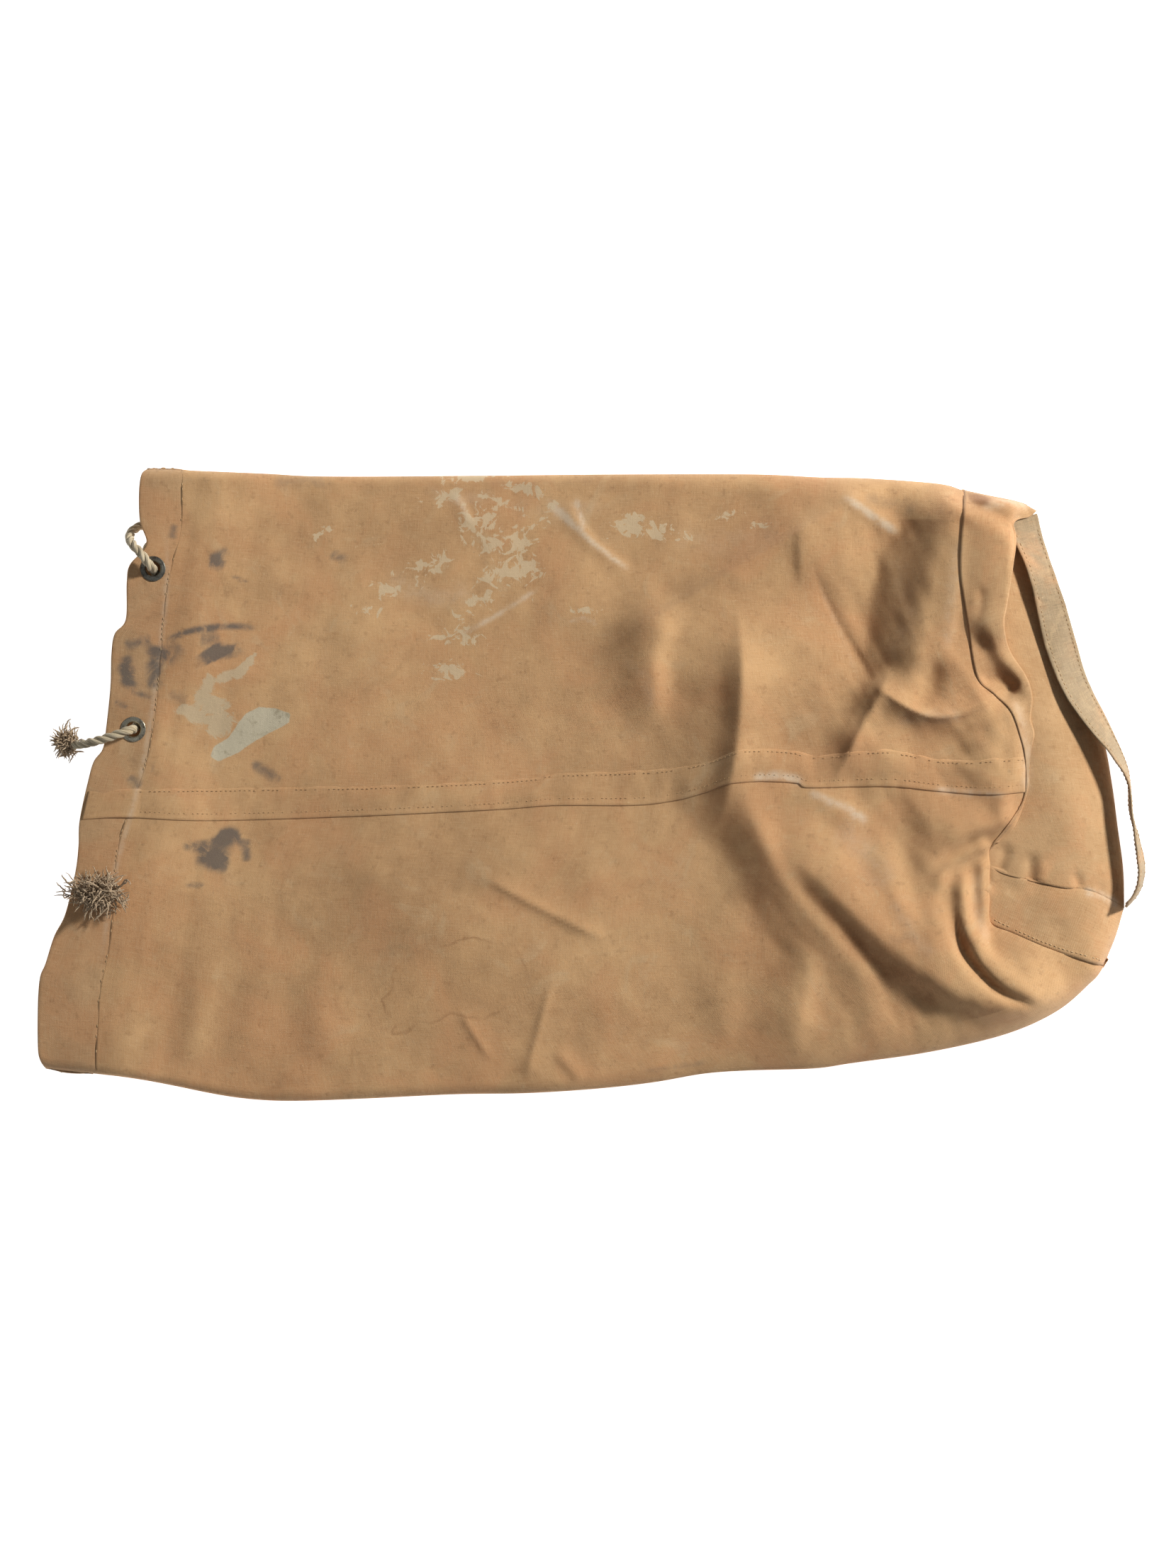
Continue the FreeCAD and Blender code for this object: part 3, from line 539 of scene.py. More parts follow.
class Shader:
    """Short ways to add and join nodes."""

    def __init__(self, name, roughness=0.9, metallic=0.0, specular=0.3, sheen=0.0):
        self.material = bpy.data.materials.new(name)
        self.material.use_nodes = True
        self.tree = self.material.node_tree
        self.main = self.tree.nodes["Principled BSDF"]
        self.set(self.main, {"Roughness": roughness, "Metallic": metallic, "Specular IOR Level": specular,
                             "Sheen Weight": sheen, "Sheen Roughness": 0.6})

    def set(self, node, inputs):
        for key, value in inputs.items():
            socket = node.inputs[key]
            if isinstance(value, bpy.types.NodeSocket):
                self.tree.links.new(value, socket)
            else:
                socket.default_value = value
        return node

    def add(self, kind, inputs=None, **settings):
        node = self.tree.nodes.new("ShaderNode" + kind)
        for key, value in settings.items():
            setattr(node, key, value)
        return self.set(node, inputs or {})

    def field(self, name):
        return self.add("Attribute", attribute_name=name).outputs["Fac"]

    def coordinates(self, scale, cloth=False):
        if cloth:
            source = self.add("UVMap", uv_map="cloth").outputs[0]
        else:
            source = self.add("TexCoord").outputs["Object"]
        return self.add("Mapping", {"Vector": source, "Scale": scale}).outputs[0]

    def cloud(self, scale, detail=4.0, roughness=0.55, cloth=False, distort=0.0, stretch=(1, 1, 1)):
        where = self.coordinates(tuple(scale * s for s in stretch), cloth)
        return self.add("TexNoise", {"Vector": where, "Scale": 1.0, "Detail": detail, "Roughness": roughness,
                                     "Distortion": distort}).outputs["Fac"]

    def math(self, operation, a, b=0.0, clamp=False):
        return self.add("Math", {0: a, 1: b}, operation=operation, use_clamp=clamp).outputs[0]

    def ramp(self, value, low, high, bottom=0.0, top=1.0):
        """A smooth step of value from low to high."""
        return self.add("MapRange", {"Value": value, "From Min": low, "From Max": high, "To Min": bottom,
                                     "To Max": top}, interpolation_type="SMOOTHSTEP").outputs[0]

    def mix(self, share, a, b, mode="MIX"):
        return self.add("Mix", {0: share, 6: a, 7: b}, data_type="RGBA", blend_type=mode).outputs[2]

    def bump(self, height, strength, distance, normal=None):
        inputs = {"Height": height, "Strength": strength, "Distance": distance}
        if normal is not None:
            inputs["Normal"] = normal
        return self.add("Bump", inputs).outputs[0]


def canvas(name, light, dark, marks=True, thread=0.00105):
    """Tanned cotton canvas: a plain weave with slubs, cloudy fading, grime, worn creases and the marks, plus
    painted shade in the folds and towards the west side.
    """
    s = Shader(name, roughness=0.92, specular=0.18, sheen=0.12)
    clouds = s.cloud(7.0, 5.0, 0.6, distort=0.6)
    blotch = s.cloud(24.0, 6.0, 0.62, distort=0.4)
    fine = s.cloud(140.0, 4.0, 0.6)
    speck = s.cloud(420.0, 3.0, 0.7)
    tone = s.math("ADD", s.math("MULTIPLY", clouds, 0.62), s.math("MULTIPLY", blotch, 0.5))
    colour = s.mix(s.ramp(tone, 0.36, 0.78), linear(*dark), linear(*light))
    warm = s.ramp(s.cloud(10.0, 5.0, 0.6, distort=1.0), 0.42, 0.66, 0, 0.6)
    colour = s.mix(warm, colour, linear(200, 144, 98))
    faded = s.ramp(s.cloud(18.0, 6.0, 0.65, distort=1.4), 0.55, 0.72, 0, 0.4)
    colour = s.mix(faded, colour, linear(204, 176, 136))
    slub_u = s.cloud(1.0, 3.0, 0.7, cloth=True, stretch=(60, 1500, 1))
    slub_v = s.cloud(1.0, 3.0, 0.7, cloth=True, stretch=(1500, 60, 1))
    slubs = s.math("ADD", slub_u, slub_v)
    colour = s.mix(s.ramp(slubs, 0.72, 1.28, 0.0, 0.26), colour, linear(232, 200, 156))
    colour = s.mix(s.ramp(fine, 0.56, 0.74, 0.0, 0.3), colour, linear(146, 106, 70))
    colour = s.mix(s.ramp(speck, 0.62, 0.74, 0.0, 0.35), colour, linear(228, 204, 164))
    colour = s.mix(s.ramp(speck, 0.36, 0.27, 0.0, 0.4), colour, linear(120, 86, 56))
    rough = s.math("SUBTRACT", s.cloud(95.0, 5.0, 0.7), 0.5)
    if marks:
        ragged = s.math("SUBTRACT", s.cloud(60.0, 6.0, 0.65, distort=1.0), 0.5)
        worn = s.math("MULTIPLY", s.field("worn"), s.ramp(s.math("ADD", rough, 0.5), 0.22, 0.66, 0.35, 1.0))
        colour = s.mix(s.ramp(worn, 0.05, 0.95, 0.0, 0.66), colour, linear(224, 206, 180))
        tide = s.math("ADD", s.field("tide"), s.math("MULTIPLY", ragged, 0.9))
        ring = s.math("MULTIPLY", s.ramp(tide, -0.12, 0.02), s.ramp(tide, 0.30, 0.04))
        ring = s.math("MULTIPLY", ring, s.ramp(s.cloud(26.0, 3.0), 0.42, 0.6, 0.1, 1.0))
        colour = s.mix(s.math("MULTIPLY", ring, 0.4), colour, linear(140, 96, 62))
        colour = s.mix(s.ramp(tide, -0.1, 0.2, 0.0, 0.16), colour, linear(196, 152, 106))
        spatter = s.math("SUBTRACT", s.cloud(75, 5, 0.6, distort=1.5), 0.5)
        flecks = s.math("ADD", s.field("flecks"), s.math("MULTIPLY", spatter, 5.0))
        colour = s.mix(s.ramp(flecks, 0.5, 0.7, 0.0, 0.75), colour, linear(218, 196, 160))
        cream = s.math("ADD", s.field("cream"), s.math("MULTIPLY", ragged, 3.2))
        colour = s.mix(s.ramp(cream, -0.1, 0.3, 0.0, 0.8), colour, linear(206, 186, 152))
        paint = s.math("ADD", s.field("paint"), s.math("MULTIPLY", ragged, 0.35))
        dirt = s.ramp(s.cloud(120, 5, 0.6), 0.5, 0.75)
        paint_colour = s.mix(dirt, linear(203, 194, 168), linear(160, 150, 124))
        colour = s.mix(s.ramp(paint, 0.0, 0.16, 0.0, 0.94), colour, paint_colour)
        grey = s.math("MULTIPLY", s.field("grey"), s.ramp(s.math("ADD", ragged, 0.5), 0.26, 0.62, 0.35, 1.0))
        colour = s.mix(s.ramp(grey, 0.1, 1.15, 0.0, 0.86), colour, linear(104, 97, 90))
    # Painted shade: darkens the colour in fold hollows and on slopes facing away from the key light.
    hollow = s.math("MULTIPLY", s.field("hollow"), s.ramp(s.cloud(38.0, 5.0, 0.6), 0.2, 0.6, 0.6, 1.0))
    colour = s.mix(s.ramp(hollow, 0.12, 1.1, 0.0, 0.7), colour, linear(128, 78, 38))
    # Cloudy grime, weighted up towards the west side of the sack: real grime plus painted shade for the side
    # away from the key light.
    grime = s.ramp(s.cloud(15.0, 6.0, 0.66, distort=1.2), 0.56, 0.82, 0.0, 0.5)
    painted_west_shade = s.ramp(s.field("east"), 0.0, 0.75, 1.0, 0.15) if marks else 0.4
    colour = s.mix(s.math("MULTIPLY", grime, painted_west_shade), colour, linear(128, 98, 70))
    s.set(s.main, {"Base Color": colour})
    turn = 2 * math.pi / thread
    parts = s.add("SeparateXYZ", {0: s.add("UVMap", uv_map="cloth").outputs[0]})
    warp = s.math("SINE", s.math("MULTIPLY", parts.outputs[0], turn))
    weft = s.math("SINE", s.math("MULTIPLY", parts.outputs[1], turn))
    weave = s.math("MULTIPLY", warp, weft)
    normal = s.bump(weave, 0.5, 0.00016)
    normal = s.bump(slubs, 0.45, 0.0003, normal)
    normal = s.bump(s.cloud(420.0, 3.0, 0.6), 0.3, 0.0005, normal)
    s.set(s.main, {"Normal": s.bump(s.cloud(55.0, 5.0, 0.6), 0.22, 0.0022, normal)})
    return s.material


def thread_material(name, colour):
    s = Shader(name, roughness=0.8, specular=0.3)
    worn = s.ramp(s.cloud(300, 4), 0.35, 0.7)
    s.set(s.main, {"Base Color": s.mix(worn, linear(*colour), linear(190, 160, 118)),
                   "Normal": s.bump(s.cloud(2600, 2), 0.4, 0.0002)})
    return s.material


def rope_material(name, light, dark, grime):
    s = Shader(name, roughness=0.88, specular=0.2, sheen=0.15)
    yarn = s.cloud(1.0, 3.0, 0.6, cloth=True, stretch=(70, 900, 1))
    colour = s.mix(s.ramp(yarn, 0.3, 0.68), linear(*dark), linear(*light))
    colour = s.mix(s.ramp(s.cloud(40, 5, 0.6), 0.5, 0.75, 0.0, 0.5), colour, linear(*grime))
    normal = s.bump(yarn, 0.7, 0.0006)
    s.set(s.main, {"Base Color": colour, "Normal": s.bump(s.cloud(1500, 3), 0.35, 0.0003, normal)})
    return s.material


def steel_material(name, light, dark, roughness):
    s = Shader(name, roughness=roughness, metallic=0.85, specular=0.5)
    colour = s.mix(s.ramp(s.cloud(260, 6, 0.7), 0.4, 0.68), linear(*light), linear(*dark))
    colour = s.mix(s.ramp(s.cloud(900, 4), 0.56, 0.7, 0.0, 0.5), colour, linear(74, 66, 56))
    s.set(s.main, {"Base Color": colour, "Normal": s.bump(s.cloud(1800, 3), 0.25, 0.0002)})
    return s.material


BODY = canvas("canvas", (214, 170, 120), (180, 137, 94))
HEM = canvas("canvas_hem", (206, 164, 118), (170, 132, 94))
BASE = canvas("canvas_base", (200, 160, 115), (170, 130, 88))
STRAP = canvas("canvas_strap", (156, 138, 112), (130, 112, 86), marks=False)
THREAD = thread_material("thread", (218, 192, 150))
PALE_THREAD = thread_material("thread_dull", (186, 150, 108))
ROPE = rope_material("rope", (222, 208, 178), (160, 144, 114), (128, 112, 88))
FIBRE = rope_material("rope_fibre", (206, 184, 154), (140, 118, 92), (116, 96, 74))
STEEL = steel_material("steel_dull", (128, 126, 116), (88, 84, 76), 0.42)
BRIGHT = steel_material("steel_bright", (190, 184, 164), (120, 112, 96), 0.28)

# ---------------------------------------------------------------------------
# Drawcord
# ---------------------------------------------------------------------------

UNDER, INSIDE, OVER = 4.75, 23.5, 42.3
ROUTE = [(-475.5, 37, 19), (-465, 37.5, 31.5), (-452, 40, 40.5), (-436.5, 44.5, 43), (-419, 51, OVER),
         (-419, 51, INSIDE), (-409.5, 67.5, INSIDE), (-401.5, 91, INSIDE), (-397, 121, INSIDE), (-396, 150,
         INSIDE), (-397.5, 177, INSIDE), (-401, 197, INSIDE), (-401, 197, OVER), (-410, 210, OVER), (-418,
         217.5, 39), (-423, 224, 29), (-424, 231, 14.5), (-419, 237, UNDER), (-408, 239.8, UNDER), (-395.6,
         237.7, UNDER), (-395.6, 237.7, INSIDE), (-405, 221.5, INSIDE), (-414, 199, INSIDE), (-419.5, 171,
         INSIDE), (-420.5, 141, INSIDE), (-416.9, 115.6, INSIDE), (-416.9, 115.6, UNDER), (-421.5, 97.5,
         UNDER), (-428, 74, UNDER), (-434.5, 45, UNDER), (-438, 18, UNDER), (-437.5, -2.6, UNDER), (-437.5,
         -2.6, INSIDE), (-445, -19.8, INSIDE), (-454, -44, INSIDE), (-461.5, -72, INSIDE), (-464, -99,
         INSIDE), (-458.2, -120.8, INSIDE), (-458.2, -120.8, UNDER), (-463, -139, UNDER), (-471, -162,
         UNDER), (-478, -187, UNDER), (-480, -211, UNDER), (-477.6, -232.1, UNDER), (-477.6, -232.1,
         INSIDE), (-468, -216, INSIDE), (-458, -194.5, INSIDE), (-448.5, -170, INSIDE), (-442, -144,
         INSIDE), (-441.5, -119.5, INSIDE), (-450, -100, INSIDE), (-450, -100, 41.5)]


def route_line(points):
    """The points of a smooth line that has the route's points as its control points, in mm."""
    data = bpy.data.curves.new("route", "CURVE")
    data.dimensions = "3D"
    data.resolution_u = 16
    spline = data.splines.new("NURBS")
    spline.points.add(len(points) - 1)
    for point, place in zip(spline.points, points):
        point.co = (*[c * MM for c in place], 1)
    spline.order_u = 3
    spline.use_endpoint_u = True
    item = bpy.data.objects.new("route", data)
    bpy.context.scene.collection.objects.link(item)
    mesh = bpy.data.meshes.new_from_object(item)
    line = np.array([v.co for v in mesh.vertices], float) / MM
    bpy.data.objects.remove(item)
    bpy.data.meshes.remove(mesh)
    return line


def frames(line):
    """Direction and two crossways directions at each point of a line, turning as little as they can."""
    way = np.gradient(line, axis=0)
    way /= np.linalg.norm(way, axis=1)[:, None]
    side = np.cross(way[0], (0.3, 0.2, 0.93))
    sides = []
    for direction in way:
        side = side - direction * side.dot(direction)
        side /= np.linalg.norm(side)
        sides.append(side)
    sides = np.array(sides)
    return way, sides, np.cross(way, sides)


def tube(line, radius, ring, twist=0.0):
    """Points and faces of a closed tube along a line; radius is one number, or one for each point."""
    _, side, up = frames(line)
    angle = np.linspace(0, 2 * math.pi, ring, endpoint=False)
    radius = np.broadcast_to(np.asarray(radius, float), (len(line),))
    turn = angle[None] + twist * np.arange(len(line))[:, None]
    points = (line[:, None] + radius[:, None, None] * (np.cos(turn)[..., None] * side[:, None]
                                                       + np.sin(turn)[..., None] * up[:, None]))
    faces = grid_faces(len(line), ring, closed=True).tolist()
    faces.append(list(range(ring)))
    faces.append(list(range(len(line) * ring - 1, (len(line) - 1) * ring - 1, -1)))
    return points.reshape(-1, 3), faces


def joined(parts):
    """Several sets of points and faces as one."""
    points, faces, start = [], [], 0
    for p, f in parts:
        points.append(p)
        faces += [[i + start for i in face] for face in f]
        start += len(p)
    return np.vstack(points), faces


rope_line = route_line(ROUTE)
steps = np.r_[0, np.cumsum(np.linalg.norm(np.diff(rope_line, axis=0), axis=1))]
even = np.linspace(0, steps[-1], int(steps[-1] / 1.4))
rope_line = np.stack([np.interp(even, steps, rope_line[:, k]) for k in range(3)], -1)
STRAND_OFFSET, STRAND_RADIUS, LAY = 2.15, 2.12, 27.0
STRAND_SIDES, STRAND_GIRTH = 12, 0.013
_, rope_side, rope_up = frames(rope_line)
strands, strand_uv = [], []
for number in range(3):
    turn = 2 * math.pi * (even / LAY + number / 3)
    centre = rope_line + STRAND_OFFSET * (np.cos(turn)[:, None] * rope_side
                                          + np.sin(turn)[:, None] * rope_up)
    points, faces = tube(centre, STRAND_RADIUS, STRAND_SIDES, twist=0.30)
    strands.append((points, faces))
    around = np.arange(STRAND_SIDES) / STRAND_SIDES * STRAND_GIRTH
    strand_uv.append(np.stack(np.meshgrid(even * MM, around, indexing="ij"), -1).reshape(-1, 2))
points, faces = joined(strands)
rope = make_object("drawcord_rope", points, faces, ROPE, uv=np.vstack(strand_uv))
stand_in(rope, "drawcord")


def tuft(name, node, root, ways, seed, count, reach, flat, spread):
    """A frayed rope end: many short curled yarns that spread from the rope's last turn."""
    random = np.random.RandomState(seed)
    parts = []
    for _ in range(count):
        way = np.array(ways[random.randint(len(ways))], float) + random.normal(0, 0.55, 3)
        way[2] *= flat
        way /= np.linalg.norm(way)
        length = reach * random.uniform(0.45, 1.0)
        curl = random.normal(0, 1.1, 3)
        line = [np.array(root, float) + random.normal(0, 1.5, 3) * np.array(spread)]
        step = length / 9
        for k in range(9):
            way = way + curl * 0.16 + random.normal(0, 0.12, 3)
            way /= np.linalg.norm(way)
            line.append(line[-1] + way * step)
        line = np.array(line)
        line[:, 2] = np.maximum(line[:, 2], 1.2)
        radius = np.interp(np.arange(10), [0, 7, 9], [0.8, 0.65, 0.25]) * random.uniform(0.6, 1.25)
        wave = 0.7 * np.sin(np.arange(10) * 2.1 + random.uniform(0, 6))
        line[:, 2] = np.maximum(line[:, 2] + wave * 0.5, 1.2)
        line[:, 0] += wave * 0.6
        parts.append(tube(line, radius, 6))
    points, faces = joined(parts)
    uv = np.stack([points[:, 0] * MM, (points[:, 1] + points[:, 2]) * MM], -1)
    item = make_object(name, points, faces, FIBRE, uv=uv)
    stand_in(item, node)
    return item


tuft_1 = tuft("frayed_tuft_1", "frayed_end_1", (-479, 38.5, 16),
              [(-1, 0.35, -0.2), (-1, 0.9, 0.1), (-0.8, -0.2, 0)], 3, 240, 17, 0.8, (2.2, 2.6, 1.6))
tuft_2 = tuft("frayed_tuft_2", "frayed_end_2", (-450, -97, 42),
              [(-1, 0.15, 0.0), (-0.9, -0.7, 0), (-0.3, 0.8, 0.1), (0.9, 0.3, 0), (0.5, -0.8, 0.1),
               (-0.8, 0.5, 0.1)], 8, 330, 24, 0.3, (6.0, 3.0, 1.2))

# ---------------------------------------------------------------------------
# Canvas tube
# ---------------------------------------------------------------------------

STEP = 3.0
FRONT_V = crowded(555, STEP)
BACK_V = crowded(555, 7.5)


def drop_edge(grid, depth, turns=5, inward=5.0):
    """Adds columns past the last one that turn down and back under: depth is one number for each row."""
    last, before = grid[-1], grid[-3]
    out = last[:, :2] - before[:, :2]
    out /= np.maximum(np.linalg.norm(out, axis=1), 1e-6)[:, None]
    extra = []
    for k in range(1, turns + 1):
        a = math.pi * 0.62 * k / turns
        forward = np.sin(a) * depth * 0.34
        back_in = (1 - np.cos(a)) * inward * 0.55 * np.minimum(depth / 8, 1)
        xy = last[:, :2] + out * (forward - back_in)[:, None]
        z = last[:, 2] - (1 - np.cos(a)) / (1 - math.cos(math.pi * 0.62)) * depth
        extra.append(np.concatenate([xy, z[:, None]], 1))
    return np.concatenate([grid, np.array(extra)], 0)


tube_columns = np.linspace(0, 1, int(850 / STEP))
front_xy = coons(HEM_LINE, BASE_SEAM, BOTTOM_EDGE, TOP_EDGE, tube_columns, FRONT_V)
fx, fy = front_xy[..., 0], front_xy[..., 1]
front_grid = np.dstack([fx, fy, front(fx, fy)])
back_xy = coons(HEM_LINE, BACK_SEAM, BOTTOM_EDGE, TOP_EDGE, tube_columns, BACK_V)
bx, by = back_xy[..., 0], back_xy[..., 1]
back_grid = np.dstack([bx, by, back(bx, by)])[:, ::-1]
roll_depth = 2.2 + ROLL_DROP * ease((FRONT_V - 0.20) / 0.03) * (1 - ease((FRONT_V - 0.47) / 0.05))
front_grid = drop_edge(front_grid, roll_depth)
past_seam = (back_grid[-1:] - back_grid[-2:-1]) * np.arange(1, 6)[:, None, None] * 0.5
back_grid = np.concatenate([back_grid, back_grid[-1:] + past_seam], 0)
ring = np.concatenate([front_grid, back_grid[:, 1:-1]], 1)
outer = np.concatenate([np.ones(front_grid.shape[:2]), np.zeros(back_grid[:, 1:-1].shape[:2])], 1)
fields = cloth_marks(ring[..., 0].ravel(), ring[..., 1].ravel(), outer.ravel())


def hollows(grid):
    """Painted shade for the folds: how far each point lies below the cloth around it, and how steeply the
    cloth rises past it, away from the key light.
    """
    z, reach = grid[..., 2], 5
    wide = np.pad(z, reach, mode="edge")
    around = (wide[2 * reach:, reach:-reach] + wide[:-2 * reach, reach:-reach]
              + wide[reach:-reach, 2 * reach:] + wide[reach:-reach, :-2 * reach]) / 4
    rise = np.gradient(z, axis=0) / STEP * 0.87 + np.gradient(z, axis=1) / STEP * 0.4
    return np.clip((around - z) / 3.2, 0, 1) * 0.5 + np.clip(rise / 0.42, 0, 1) * 0.62


# Painted shade on the front of the tube, kept off its turned side edges.
tube_painted_shade = np.zeros(ring.shape[:2])
tube_painted_shade[:, 16:FRONT_V.size - 16] = hollows(front_grid)[:, 16:-16]
fields["hollow"] = tube_painted_shade.ravel()
rows, columns = ring.shape[:2]
ring_uv = cloth_uv(np.concatenate([ring, ring[:, :1]], 1)).reshape(rows, columns + 1, 2)
body = make_object("canvas_tube", ring.reshape(-1, 3), grid_faces(rows, columns, closed=True), BODY,
                   fields, ring_uv[:, :-1].reshape(-1, 2))
face_up(body, np.arange(ring.shape[1] // 4, ring.shape[0] * ring.shape[1] // 2, ring.shape[1]))
thicken(body, TUBE_CLOTH)
stand_in(body, "body_tube")

# ---------------------------------------------------------------------------
# Mouth hem: folded cloth, outer face, turned mouth edge and inner face in one sheet
# ---------------------------------------------------------------------------

HEM_STEP = 1.9
HEM_COLUMNS, LIP_STEPS, INNER_COLUMNS = 25, 3, 22
INNER_FROM = HEM_COLUMNS + LIP_STEPS
hem_out = np.linspace(0, 1, HEM_COLUMNS)
hem_v_front, hem_v_back = crowded(560, HEM_STEP), crowded(560, 3.4)
HEM_RIGHT = [(px + 4, py) for px, py in HEM_LINE]
HEM_BOTTOM = [(-499, -258), (-480, -262), (-451, -263)]
HEM_TOP = [(-406, 289), (-390, 289.5), (-372, 288.5)]
MOUTH_BACK = [(px + 3.0 * ease((py + 250) / 40) * ease((285 - py) / 40), py) for px, py in MOUTH_EDGE]


def hem_side(edge, vs, height, inner_way):
    """One side of the hem as rows of points: outer face towards the mouth, the turn, then the inner face."""
    xy = coons(edge, HEM_RIGHT, HEM_BOTTOM, HEM_TOP, hem_out, vs)[::-1]
    x, y = xy[..., 0], xy[..., 1]
    outer_face = np.dstack([x, y, height(x, y)])
    gap = 2.1 * inner_way
    lip = outer_face[-1:].copy()
    lips = []
    for k in range(1, LIP_STEPS + 1):
        a = math.pi * k / (LIP_STEPS + 1)
        point = lip.copy()
        point[..., 0] -= 1.05 * math.sin(a)
        point[..., 2] += gap * (1 - math.cos(a)) / 2
        lips.append(point)
    inner = outer_face[::-1].copy()[:INNER_COLUMNS]
    inner[..., 2] += gap
    return np.concatenate([outer_face] + lips + [inner], 0)


def hem_lift(x, y):
    """The hem stands proud of the tube, less so and unevenly along its stitched edge."""
    d, _ = nearest(x, y, curve(HEM_LINE))
    return -0.4 + 0.5 * ease((d + 4) / 4) + (HEM_PROUD - 0.1) * ease(d / 26) + 0.12 * noise(x, y, 14, 31)


def hem_front(x, y):
    return front(x, y) + hem_lift(x, y) * np.clip(to_sides(x, y) / 8, 0, 1)


def hem_back(x, y):
    return back(x, y) - 1.0 * np.clip(to_sides(x, y) / 8, 0, 1)


hem_f = hem_side(MOUTH_EDGE, hem_v_front, hem_front, -1)
hem_b = hem_side(MOUTH_BACK, hem_v_back, hem_back, 1)[:, ::-1]
hem_ring = np.concatenate([hem_f, hem_b[:, 1:-1]], 1)
hem_ring[INNER_FROM:, 0, 1] += 2.0
hem_ring[INNER_FROM:, hem_f.shape[1] - 1, 1] -= 2.0
hem_outer = np.concatenate([np.ones(hem_f.shape[:2]), np.zeros(hem_b[:, 1:-1].shape[:2])], 1)
HOLE = 8.3
hem_faces = grid_faces(*hem_ring.shape[:2], closed=True)
flat_points = hem_ring.reshape(-1, 3).copy()
front_point = hem_outer.ravel() > 0.5
keep = np.ones(len(hem_faces), bool)
for places, side_is_front in ((FRONT_EYELETS, True), (BACK_EYELETS, False)):
    for px, py in places.values():
        away = np.hypot(flat_points[:, 0] - px, flat_points[:, 1] - py)
        mine = front_point == side_is_front
        inside_hole = (away < HOLE) & mine
        keep &= ~inside_hole[hem_faces].any(1)
used = np.zeros(len(flat_points), bool)
used[hem_faces[keep].ravel()] = True
for places, side_is_front in ((FRONT_EYELETS, True), (BACK_EYELETS, False)):
    for px, py in places.values():
        dx, dy = flat_points[:, 0] - px, flat_points[:, 1] - py
        away = np.hypot(dx, dy)
        pull = (away < HOLE + 2.4) & (front_point == side_is_front) & used
        scale = (HOLE - 0.3 + (away[pull] - HOLE) * 0.25) / away[pull]
        flat_points[pull, 0] = px + dx[pull] * scale
        flat_points[pull, 1] = py + dy[pull] * scale
remap = np.cumsum(used) - 1
hem_fields = cloth_marks(flat_points[:, 0], flat_points[:, 1], hem_outer.ravel())
hem_uv = cloth_uv(hem_ring)
hem = make_object("mouth_hem_cloth", flat_points[used], remap[hem_faces[keep]], HEM,
                  {k: v[used] for k, v in hem_fields.items()}, hem_uv[used])
across = hem_ring.shape[1]
upper = [remap[i] for i in range(across // 4, 20 * across, across) if used[i]]
face_up(hem, upper)
thicken(hem, HEM_CLOTH)
stand_in(hem, "mouth_hem")

# ---------------------------------------------------------------------------
# Base band, disc and seam lap
# ---------------------------------------------------------------------------

def band_height(x, y):
    """The band lies on the roll above, on the low form below, and is hidden between them."""
    above = front(x, y) + 0.9
    below = base_form(x, y) + 0.9
    low = 1 - ease((y + 105) / 14)
    hidden = ease((y + 96) / 12) * (1 - ease((y + 22) / 10)) * (1 - ease((x - 352) / 12))
    return above * (1 - low) + below * low - 7 * hidden


BAND_LENGTH, FOLD_TURN = 430.0, 9.0  # of a row of the band, and how soon it turns down at its ends


def to_folds(x, y, z, shares):
    """Brings both ends of a strip's rows down to the side folds, where its front and back meet."""
    inward = np.clip(np.minimum(shares, 1 - shares)[None] * BAND_LENGTH / FOLD_TURN, 0, 1)
    edge = side_height(x, y)
    return edge + (z - edge) * np.sqrt(1 - (1 - inward) ** 2)


band_u = np.linspace(0, 1, 22)
band_v = np.linspace(0, 1, 230)
BAND_LOW, BAND_TOP = [(466, -165), (477, -139), (485, -112)], [(337, 270), (360, 265), (388, 259)]
band_front = coons(BAND_SEAM, ROLL_EDGE, BAND_LOW, BAND_TOP + [(404, 251)], band_u, band_v)
x, y = band_front[..., 0], band_front[..., 1]
z = to_folds(x, y, band_height(x, y), band_v)
band_grid = np.dstack([x, y, z])
middle_y = band_grid[-1, :, 1]
from_ends = np.clip(np.minimum(band_v, 1 - band_v) / 0.025, 0.1, 1)
band_drop = np.where(middle_y > -30, ROLL_DROP, 1.6) * from_ends
band_grid = drop_edge(band_grid, band_drop, turns=6, inward=10)
band_grid = np.concatenate([band_grid[:1] + np.array([0, 0, -BAND_CLOTH]), band_grid], 0)
back_v = np.linspace(0, 1, 180)
band_back_xy = coons(BACK_SEAM, BACK_RIM, [(466, -166)] + BAND_LOW[1:], BAND_TOP + [(396, 256)],
                     np.linspace(0, 1, 16), back_v)
x, y = band_back_xy[..., 0], band_back_xy[..., 1]
band_back = np.dstack([x, y, to_folds(x, y, back(x, y) - 0.35, back_v)])[::-1]
parts, marks_front = [], []
for grid_part, flag in ((band_grid, 1.0), (band_back, 0.0)):
    parts.append((grid_part.reshape(-1, 3), grid_faces(grid_part.shape[0], grid_part.shape[1]).tolist()))
    marks_front.append(np.full(grid_part.shape[0] * grid_part.shape[1], flag))
points, faces = joined(parts)
band_fields = cloth_marks(points[:, 0], points[:, 1], np.concatenate(marks_front))
band_uv = np.vstack([cloth_uv(band_grid), cloth_uv(band_back)])
